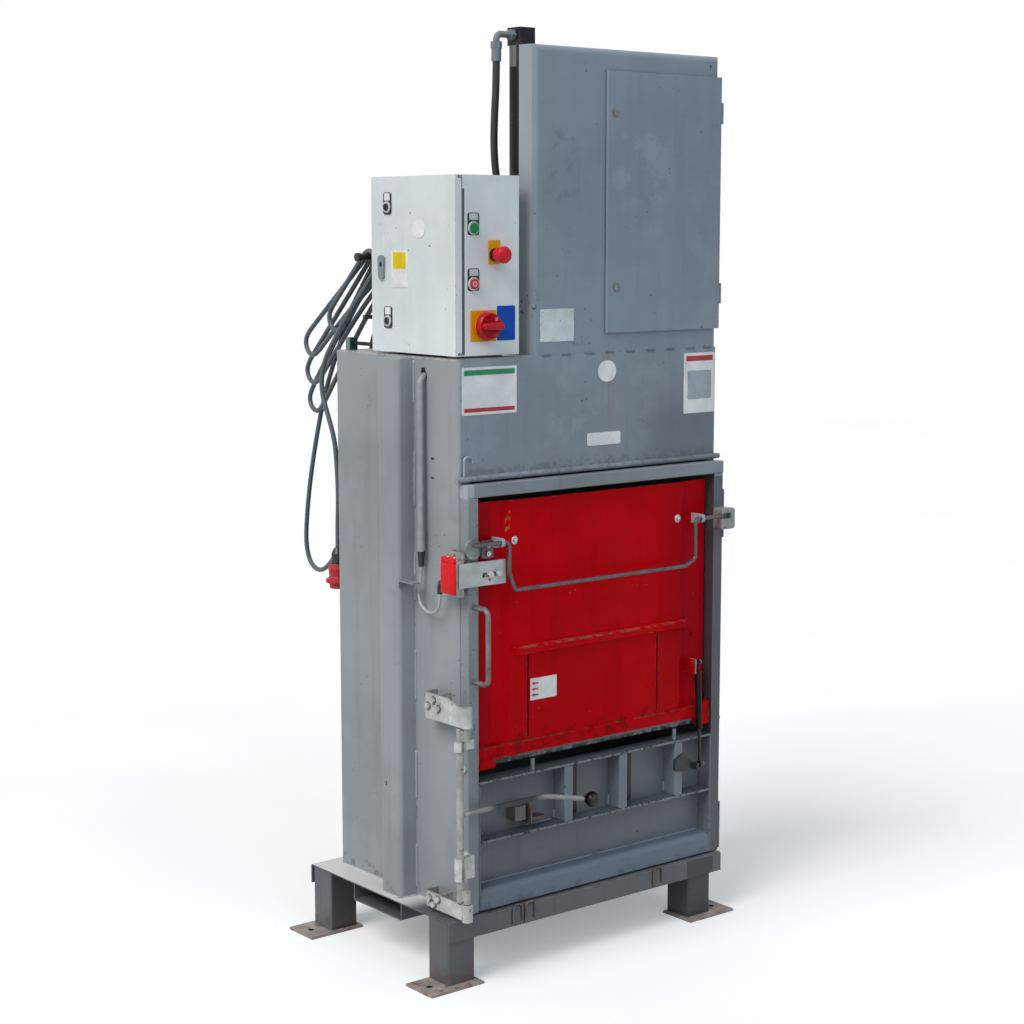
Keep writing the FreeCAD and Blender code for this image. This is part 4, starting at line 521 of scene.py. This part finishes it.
def turned(name, centre, axis, outline, mat, body, steps=32):
    """Revolved profile (radius, distance along axis) about a line."""
    bm = bmesh.new()
    q = Vector((0, 0, 1)).rotation_difference(Vector(axis)).to_matrix().to_4x4()
    rings = []
    for rad, h in outline:
        if rad < 1e-6:
            rings.append([bm.verts.new((0, 0, h))] * steps)
        else:
            rings.append([bm.verts.new((rad * math.cos(2 * math.pi * i / steps),
                                        rad * math.sin(2 * math.pi * i / steps), h)) for i in range(steps)])
    for a, b in zip(rings, rings[1:]):
        for i in range(steps):
            j = (i + 1) % steps
            face = list(dict.fromkeys((a[i], a[j], b[j], b[i])))
            if len(face) > 2:
                bm.faces.new(face)
    bmesh.ops.recalc_face_normals(bm, faces=bm.faces)
    bm.transform(Matrix.Translation(centre) @ q)
    return piece(name, bm, mat, body)


# ---- cords ------------------------------------------------------------------------------
def line(name, points, diameter, mat):
    """One smooth curve of round section through points given in millimetres."""
    curve = bpy.data.curves.new(name, "CURVE")
    curve.dimensions = "3D"
    s = curve.splines.new("NURBS")
    s.points.add(len(points) - 1)
    for p, q in zip(s.points, points):
        p.co = (q[0] / 1000, q[1] / 1000, q[2] / 1000, 1)
    s.order_u = 3
    s.use_endpoint_u = True
    curve.bevel_depth, curve.bevel_resolution, curve.resolution_u = diameter / 2000, 4, 10
    obj = bpy.data.objects.new(name, curve)
    curve.materials.append(mats[mat])
    scene.collection.objects.link(obj)
    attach(obj, "frame")
    return obj


# the hank in millimetres: centre and radius of its turns over the hook, radius of the folds at
# its lower tips, step from turn to turn, place of the first, and the tips from that centre
HUB, TURN, TIP, PITCH, FIRST = (172.0, 1638.3), 28.0, 31.0, 13.4, -344.0
TIPS = ((165.2, -158.2), (293.1, -220.2), (306.2, -293.4), (314.7, -367.2))
CABLE_R = 6.0
LEAN, LEAD_IN = -48.0, 225       # direction and length of the run that the hank begins with
CLIMB = ((150, 0), (30, 1))      # a run steps over between these distances from the hook
EIGHTH = math.cos(math.radians(22.5))   # a fold's points stand out by this for the curve to reach it


def hank():
    """The hank's turns, from the plug's side to the box's side: 14 points a turn."""
    def at(c, r, deg, x):
        a = math.radians(deg)
        return (x, c[0] + r * math.cos(a), c[1] + r * math.sin(a))

    def along(p, q, f, x):
        return (x, p[1] + (q[1] - p[1]) * f, p[2] + (q[2] - p[2]) * f)

    out, x, lean = [], FIRST, LEAN
    a = math.radians(lean)
    start = (x, HUB[0] + LEAD_IN * math.cos(a) + TURN * math.sin(a),
             HUB[1] + LEAD_IN * math.sin(a) - TURN * math.cos(a))
    for ty, tz in (*TIPS, (None, None)):
        here = at(HUB, TURN, lean - 90, x)
        size = math.hypot(start[1] - here[1], start[2] - here[2])
        for gap, step in CLIMB:
            out.append(along(here, start, gap / size, x + PITCH * step))
        x += PITCH
        nxt = lean if ty is None else math.degrees(math.atan2(tz, ty))
        wide = TURN / EIGHTH
        first, last = lean - 90, nxt + 90 - 360
        for i in range(4):
            out.append(at(HUB, wide, first + (last - first) * (i + 0.5) / 4, x))
        if ty is None:
            break
        far = math.hypot(ty, tz) - TIP - CABLE_R
        tip = at(HUB, far, nxt, 0)[1:]
        p, q = at(HUB, TURN, nxt + 90, x), at(tip, TIP, nxt + 90, x)
        out += [along(p, q, f, x) for f in (0.16, 0.5, 0.84)]
        wide = TIP / EIGHTH
        out += [at(tip, wide, nxt + 67.5 - 45 * i, x) for i in range(4)]
        start, lean = at(tip, TIP, nxt - 90, x), nxt
        out.append(along(start, at(HUB, TURN, nxt - 90, x), 0.16, x))
    return out


TAIL = [(-344, 301.75, 1452.36), (-344, 338.55, 1411.48), (-344, 360.55, 1359.48), (-344, 355.55, 1311.48),
        (-343, 330.55, 1261.48), (-341, 308.55, 1206.48), (-339, 303.55, 1141.48), (-332, 310, 1060),
        (-330, 318, 1000), (-330, 318, 943)]
DROP = [(-277, 293.18, 1545.57), (-277, 343.36, 1489.83), (-277, 376, 1440), (-277, 425, 1355),
        (-277, 466, 1262), (-277, 497, 1165), (-277, 521, 1075), (-276, 538, 990), (-275, 545, 920),
        (-274, 528, 872), (-272, 489, 856), (-270, 450, 874), (-268, 410, 919), (-265, 364, 974),
        (-261, 322, 1040), (-255, 303, 1120), (-247, 300, 1215), (-239, 304, 1310), (-233, 308, 1400),
        (-236, 296, 1462), (-236, 252, 1487), (-236, 205, 1482), (-236, 162, 1482)]
supply = line("supply_cable", DROP[::-1] + hank()[::-1] + TAIL, 12.0, "cable")
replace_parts(supply, "cable_hank", "cable_drop", "cable_tail")

FLEX = [(-365, -75, 952), (-365, -75, 927), (-366.5, -66, 899), (-369, -72, 869), (-371, -97, 852),
        (-373.5, -127, 850), (-377, -153, 862), (-380, -166, 881), (-380, -166, 903)]
flex = line("switch_lead", FLEX, 6.5, "sleeve")
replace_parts(flex, "switch_flex")

HOSE = [(-34, 64, 2136), (-34, 64, 2066), (-40, 64, 1980), (-42, 64, 1905), (-36, 62, 1835),
        (-25, 50, 1770), (-2, 16, 1686), (41, -10, 1671), (98, -10, 1671)]
hose = line("pressure_hose", HOSE, 18.0, "hose")
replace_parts(hose, "hydraulic_hose")

# ---- plain plates and labels ----------------------------------------------------------------
front_y, side_x = -0.1970, -0.3500     # front of collar and tower, left face of the wall
over = 0.0008                          # a label's thickness; its fields lie on it
thin = {"t": 0.0003, "r": 0.001}
white = "sheet_white"
LABELS = (
    ("label_left", (-0.2615, front_y, 1.3575), (0.157, 0.107), white, "frame", {"r": 0.002}),
    ("label_left_band", (-0.2615, front_y - over, 1.3990), (0.145, 0.012), "vinyl_green", "frame", thin),
    ("label_left_foot", (-0.2615, front_y - over, 1.3150), (0.145, 0.009), "vinyl_red", "frame", thin),
    ("label_right", (0.3915, front_y, 1.3445), (0.103, 0.147), white, "frame", {"r": 0.002}),
    ("label_right_band", (0.3915, front_y - over, 1.4045), (0.090, 0.013), "vinyl_red", "frame", thin),
    ("label_right_field", (0.3915, front_y - over, 1.3400), (0.080, 0.070), "vinyl_grey", "frame",
     {"t": 0.0003, "r": 0.004}),
    ("label_round", (0.091, front_y, 1.386), (0.056, 0.050), white, "frame", {"r": 0.0245}),
    ("label_small", (0.082, front_y, 1.227), (0.104, 0.030), white, "frame", {"r": 0.006}),
    ("label_flap", (-0.1155, -0.2136, 0.6575), (0.079, 0.052), white, "flap", {"r": 0.001, "jag": 0.0022}),
    ("label_box", (side_x + over, 0.023, 1.627), (0.064, 0.084), white, "control_door", {"r": 0.001}),
    ("label_box_field", (side_x, 0.023, 1.6455), (0.050, 0.038), "vinyl_yellow", "control_door", thin),
    ("label_box_round", (side_x + over, -0.051, 1.717), (0.048, 0.040), white, "control_door",
     {"r": 0.0195}),
)


def wall_of(body):
    """The side that a body's labels face."""
    return "-X" if body == "control_door" else "-Y"


for name, centre, size, mat, body, form in LABELS:
    plate(name, centre, size, wall_of(body), mat, body, "box_paint", **form)

plate("rating_plate", (-0.0635, front_y, 1.498), (0.101, 0.075), "-Y", "tape", "frame", "galvanised",
      t=0.0010, r=0.002)
rivet = ((0.0, 0.0018), (0.0016, 0.0015), (0.0027, 0.0006), (0.0029, -0.0004))
for i, (x, z) in enumerate(((-0.1085, 1.530), (-0.0185, 1.530), (-0.1085, 1.466), (-0.0185, 1.466))):
    turned(f"plate_rivet_{i}", (x, front_y - 0.0010, z), (0, -1, 0), rivet, "bright", "frame", 16)
ring = ((0.0042, -0.0004), (0.0042, 0.0004), (0.0058, 0.0004), (0.0058, -0.0004))
turned("button_ring", (-0.3005, -0.1960, 1.596), (0, -1, 0), ring, white, "button_red")

for tag, z in (("green", 1.7285), ("red", 1.6055)):
    plate(f"legend_{tag}", (-0.2995, -0.1880, z), (0.0322, 0.0495), "-Y", "dark_plate", "frame",
          "black_plastic", t=0.0012, r=0.005)
for tag, z in (("low", 1.5150), ("high", 1.7750)):
    plate(f"key_plate_{tag}", (side_x + 0.0010, 0.0685, z), (0.0310, 0.0500), "-X", "dark_plate",
          "control_door", "black_plastic", t=0.0016, r=0.006)
    plate(f"key_field_{tag}", (side_x - 0.0006, 0.0685, z + 0.0150), (0.0215, 0.0165), "-X", white,
          "control_door", "box_paint", t=0.0005, r=0.001)


def arrow(name, x, z):
    """Plain arrow pointing to -X on the flap's label."""
    bm = bmesh.new()
    rim = ((0, 0), (8, 5), (8, 1.8), (20, 1.8), (20, -1.8), (8, -1.8), (8, -5))
    rows = [[bm.verts.new((x + 0.001 * u, -0.2145 - dy, z + 0.001 * v)) for u, v in rim]
            for dy in (0, 0.0006)]
    for i in range(len(rim)):
        j = (i + 1) % len(rim)
        bm.faces.new((rows[0][i], rows[0][j], rows[1][j], rows[1][i]))
    bm.faces.new(rows[0])
    bm.faces.new(rows[1][::-1])
    bmesh.ops.recalc_face_normals(bm, faces=bm.faces)
    piece(name, bm, "ink", "flap", smooth=False)


for i, z in enumerate((0.6710, 0.6575, 0.6435)):
    arrow(f"label_arrow_{i}", -0.1520, z)

# ---- switch heads and bolts ---------------------------------------------------------------------
MUSHROOM = ((0.0092, 0.0), (0.0092, 0.0130), (0.0148, 0.0132), (0.0158, 0.0142), (0.0154, 0.0250),
            (0.0160, 0.0280), (0.0184, 0.0305), (0.0194, 0.0335), (0.0192, 0.0385), (0.0172, 0.0425),
            (0.0115, 0.0448), (0.0, 0.0455))
stop = turned("stop_head", (-0.241, -0.188, 1.660), (0, -1, 0), MUSHROOM,
              "stop", "stop_button", 48)
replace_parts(stop, "stop_button")
DISC = ((0.0068, -0.0028), (0.0068, 0.0075), (0.0310, 0.0078), (0.0325, 0.0090), (0.0325, 0.0130),
        (0.0312, 0.0170), (0.0296, 0.0232), (0.0285, 0.0242), (0.0272, 0.0240), (0.0265, 0.0228),
        (0.0, 0.0226))
disc = turned("switch_disc", (-0.2675, -0.188, 1.502), (0, -1, 0), DISC,
              "turn", "main_switch", 64)
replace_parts(disc, "main_switch")


def slab(name, rim, y0, y1, mat, body, round_by=0.0015):
    """Solid from an outline in X and Z, from y0 to y1, with rounded edges."""
    bm = bmesh.new()
    a = [bm.verts.new((x, y0, z)) for x, z in rim]
    b = [bm.verts.new((x, y1, z)) for x, z in rim]
    for i in range(len(rim)):
        j = (i + 1) % len(rim)
        bm.faces.new((a[i], a[j], b[j], b[i]))
    bm.faces.new(a)
    bm.faces.new(b[::-1])
    bmesh.ops.bevel(bm, geom=list(bm.edges), offset=round_by, segments=3, profile=0.5, affect="EDGES")
    bmesh.ops.recalc_face_normals(bm, faces=bm.faces)
    return piece(name, bm, mat, body)


GRIP = [(-0.2925, 1.4955), (-0.2440, 1.4935), (-0.2405, 1.4960), (-0.2395, 1.5020),
        (-0.2405, 1.5080), (-0.2440, 1.5105), (-0.2925, 1.5085), (-0.2955, 1.5020)]
slab("switch_grip", GRIP, -0.2095, -0.2250, "turn", "main_switch")


def bolt(name, centre, across, height, body):
    """Bright hexagon head on a washer, facing -Y."""
    x, y, z = centre
    washer = ((0.0, 0.0), (across * 0.98, 0.0), (across, 0.0004),
              (across, 0.0014), (across * 0.97, 0.0018), (0.0, 0.0018))
    head = ((across * 0.57, -0.0004), (across * 0.57, height * 0.82),
            (across * 0.50, height), (0.0, height * 1.04))
    turned(name + "_washer", (x, y + 0.0002, z), (0, -1, 0), washer, "bright", body, 28)
    turned(name, (x, y - 0.0015, z), (0, -1, 0), head, "bright", body, 6)


bolt("flap_bolt_left", (-0.2020, -0.2125, 1.0130), 0.0095, 0.0055, "flap")
bolt("flap_bolt_right", (0.3090, -0.2130, 1.0175), 0.0100, 0.0060, "flap")
for i, z in enumerate((1.0160, 0.9960)):
    bolt(f"keeper_bolt_{i}", (-0.3040, -0.2480, z), 0.0062, 0.0040, "bail")

ball_r = 0.0182
turned("lever_ball", (-0.0500, -0.3137, 0.3990), (0, 0, 1),
       [(ball_r * math.sin(math.pi * i / 24), -ball_r * math.cos(math.pi * i / 24)) for i in range(25)],
       "ball", "lock_crank", 48)


def switch_housing():
    """The safety switch's housing and its lid, a seam apart, with rounded edges."""
    bm = bmesh.new()
    x0, x1, y0, y1 = -0.394, -0.3685, -0.237, -0.186
    foot, seam, lid, head = 0.909, 0.9800, 0.9803, 0.992
    for z0, z1, inset in ((foot, seam, 0.0), (lid, head, 0.0006)):
        rim = ((x0 + inset, y0 + inset), (x1 - inset, y0 + inset),
               (x1 - inset, y1 - inset), (x0 + inset, y1 - inset))
        corner = [bm.verts.new((x, y, z)) for z in (z0, z1) for x, y in rim]
        for f in ((3, 2, 1, 0), (4, 5, 6, 7), (0, 1, 5, 4), (1, 2, 6, 5), (2, 3, 7, 6), (3, 0, 4, 7)):
            bm.faces.new([corner[i] for i in f])
    bmesh.ops.bevel(bm, geom=list(bm.edges), offset=0.0022, segments=3, profile=0.5, affect="EDGES")
    bmesh.ops.recalc_face_normals(bm, faces=bm.faces)
    return piece("switch_housing", bm, "switch_red", "frame")


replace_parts(switch_housing(), "safety_switch")
screw = ((0.0, 0.0022), (0.0034, 0.0020), (0.0046, 0.0008), (0.0048, -0.0008))
for i, y in enumerate((-0.2240, -0.2000)):
    turned(f"housing_screw_{i}", (-0.3812, y, 0.9915), (0, 0, 1), screw, "bright", "frame", 20)
BOOT = [(-380, -166, 902.5), (-380, -166, 916), (-380, -168, 928), (-380, -178, 930), (-380, -188, 930)]
boot = line("switch_boot", BOOT, 13.0, "hook")

# ---- weld beads and other small forms ----------------------------------------------------------
seam_y, front_face = -0.0312, -0.1880     # front edge of the side post, face of the lower panel
tray_z = 0.1575                           # where the walls stand on the tray


def upright(x, y, *spans):
    """Runs straight up at x and y."""
    return [((x, y, lo), (x, y, hi)) for lo, hi in spans]


beads("post_welds", upright(side_x - 0.0005, seam_y, (1.3206, 1.4212), (1.0828, 1.2125), (0.9193, 0.9779),
                            (0.8629, 0.8958), (0.6257, 0.7494), (0.3901, 0.5083), (0.1733, 0.2832)),
      0.0044, "bead", "frame")
beads("post_seam", upright(side_x, seam_y, (0.159, 0.896), (0.921, 1.424)), 0.0015, "bead", "frame")
FOOT_RUNS = (((-0.3495, 0.279), (-0.3495, 0.0515)), ((-0.351, 0.0495), (-0.390, 0.0495)),
             ((-0.3992, 0.040), (-0.3992, -0.022)), ((-0.391, -0.0312), (-0.352, -0.0312)),
             ((-0.3503, -0.034), (-0.3503, -0.110)))
beads("foot_welds", [((*a, tray_z), (*b, tray_z)) for a, b in FOOT_RUNS], 0.0030, "pale_bead", "frame")
beads("collar_welds", [((a, front_y - 0.0004, 1.4302), (a + 0.030, front_y - 0.0004, 1.4302))
                       for a in (-0.110, -0.050, 0.020, 0.085, 0.150, 0.215, 0.280, 0.345, 0.405)],
      0.0030, "dark_bead", "frame")
beads("sill_seam", [((a, front_face, 0.2128), (b, front_face, 0.2128))
                    for a, b in ((-0.308, 0.060), (0.075, 0.409))], 0.0017, "bead", "main_door")
beads("rib_welds", [*upright(0.1118, front_face, (0.3275, 0.3560)),
                    *upright(0.2948, front_face, (0.3275, 0.3560)),
                    *upright(-0.0612, front_face, (0.3275, 0.3480)),
                    *upright(0.4165, front_face, (0.330, 0.372), (0.218, 0.250)),
                    ((-0.150, front_face, 0.3270), (-0.068, front_face, 0.3270))],
      0.0023, "bead", "main_door")
plate("flap_lip", (0.0560, -0.2030, 0.5030), (0.6380, 0.0200), "-Y", "lip", "flap", "grey_paint",
      t=0.0020, r=0.001, jag=-0.0060)


# ---- floor, backdrop and light --------------------------------------------------------------------
def seen(tree):
    """1 for what the camera, a reflection or glass shows, 0 for what lights the object."""
    ray, total = tree.nodes.new("ShaderNodeLightPath"), None
    for key in ("Is Camera Ray", "Is Glossy Ray", "Is Transmission Ray"):
        if total is None:
            total = ray.outputs[key]
            continue
        n = tree.nodes.new("ShaderNodeMath")
        n.operation, n.use_clamp = "ADD", True
        tree.links.new(total, n.inputs[0])
        tree.links.new(ray.outputs[key], n.inputs[1])
        total = n.outputs[0]
    return total


bpy.ops.mesh.primitive_plane_add(size=60, location=(0, 0, 0))
floor = bpy.context.object
floor.name = "floor"
m = Mat("floor")
view = seen(m.tree)
tone = m.mix(m.band(m.noise(0.8, 3.0), 0.3, 0.7), rgb("f6f6f5"), rgb("fbfbfa"))
m.bsdf.inputs["Emission Color"].default_value = (1, 1, 1, 1)
m.bsdf.inputs["Specular IOR Level"].default_value = 0.1
m.put(m.bsdf.inputs["Emission Strength"], m.mul(view, 0.27))
floor.data.materials.append(m.done(m.mix(view, rgb("b8b8b7"), tone), 0.9))

world = bpy.data.worlds.new("studio")
scene.world = world
world.use_nodes = True
wt = world.node_tree
back = wt.nodes["Background"]
backdrop = wt.nodes.new("ShaderNodeBackground")
backdrop.inputs["Color"].default_value = (1, 1, 1, 1)
backdrop.inputs["Strength"].default_value = 1.0
back.inputs["Color"].default_value = (0.90, 0.955, 1.0, 1)
back.inputs["Strength"].default_value = 0.30
pick = wt.nodes.new("ShaderNodeMixShader")
wt.links.new(seen(wt), pick.inputs[0])
wt.links.new(back.outputs[0], pick.inputs[1])
wt.links.new(backdrop.outputs[0], pick.inputs[2])
wt.links.new(pick.outputs[0], wt.nodes["World Output"].inputs["Surface"])


def sun(name, bearing, height, spread, strength, colour):
    """Broad soft lamp: bearing counts from -X towards -Y, height above the floor, in degrees."""
    data = bpy.data.lights.new(name, "SUN")
    data.energy, data.color, data.angle = strength, colour, math.radians(spread)
    obj = bpy.data.objects.new(name, data)
    b, h = math.radians(bearing), math.radians(height)
    towards = Vector((-math.cos(b) * math.cos(h), -math.sin(b) * math.cos(h), math.sin(h)))
    obj.location = towards * 8
    obj.rotation_euler = (-towards).to_track_quat("-Z", "Y").to_euler()
    scene.collection.objects.link(obj)


sun("key", 10, 46, 36, 1.9, (1.0, 0.99, 0.97))
sun("front", 84, 34, 40, 0.50, (0.62, 0.82, 1.0))
scene.view_settings.view_transform = "Standard"
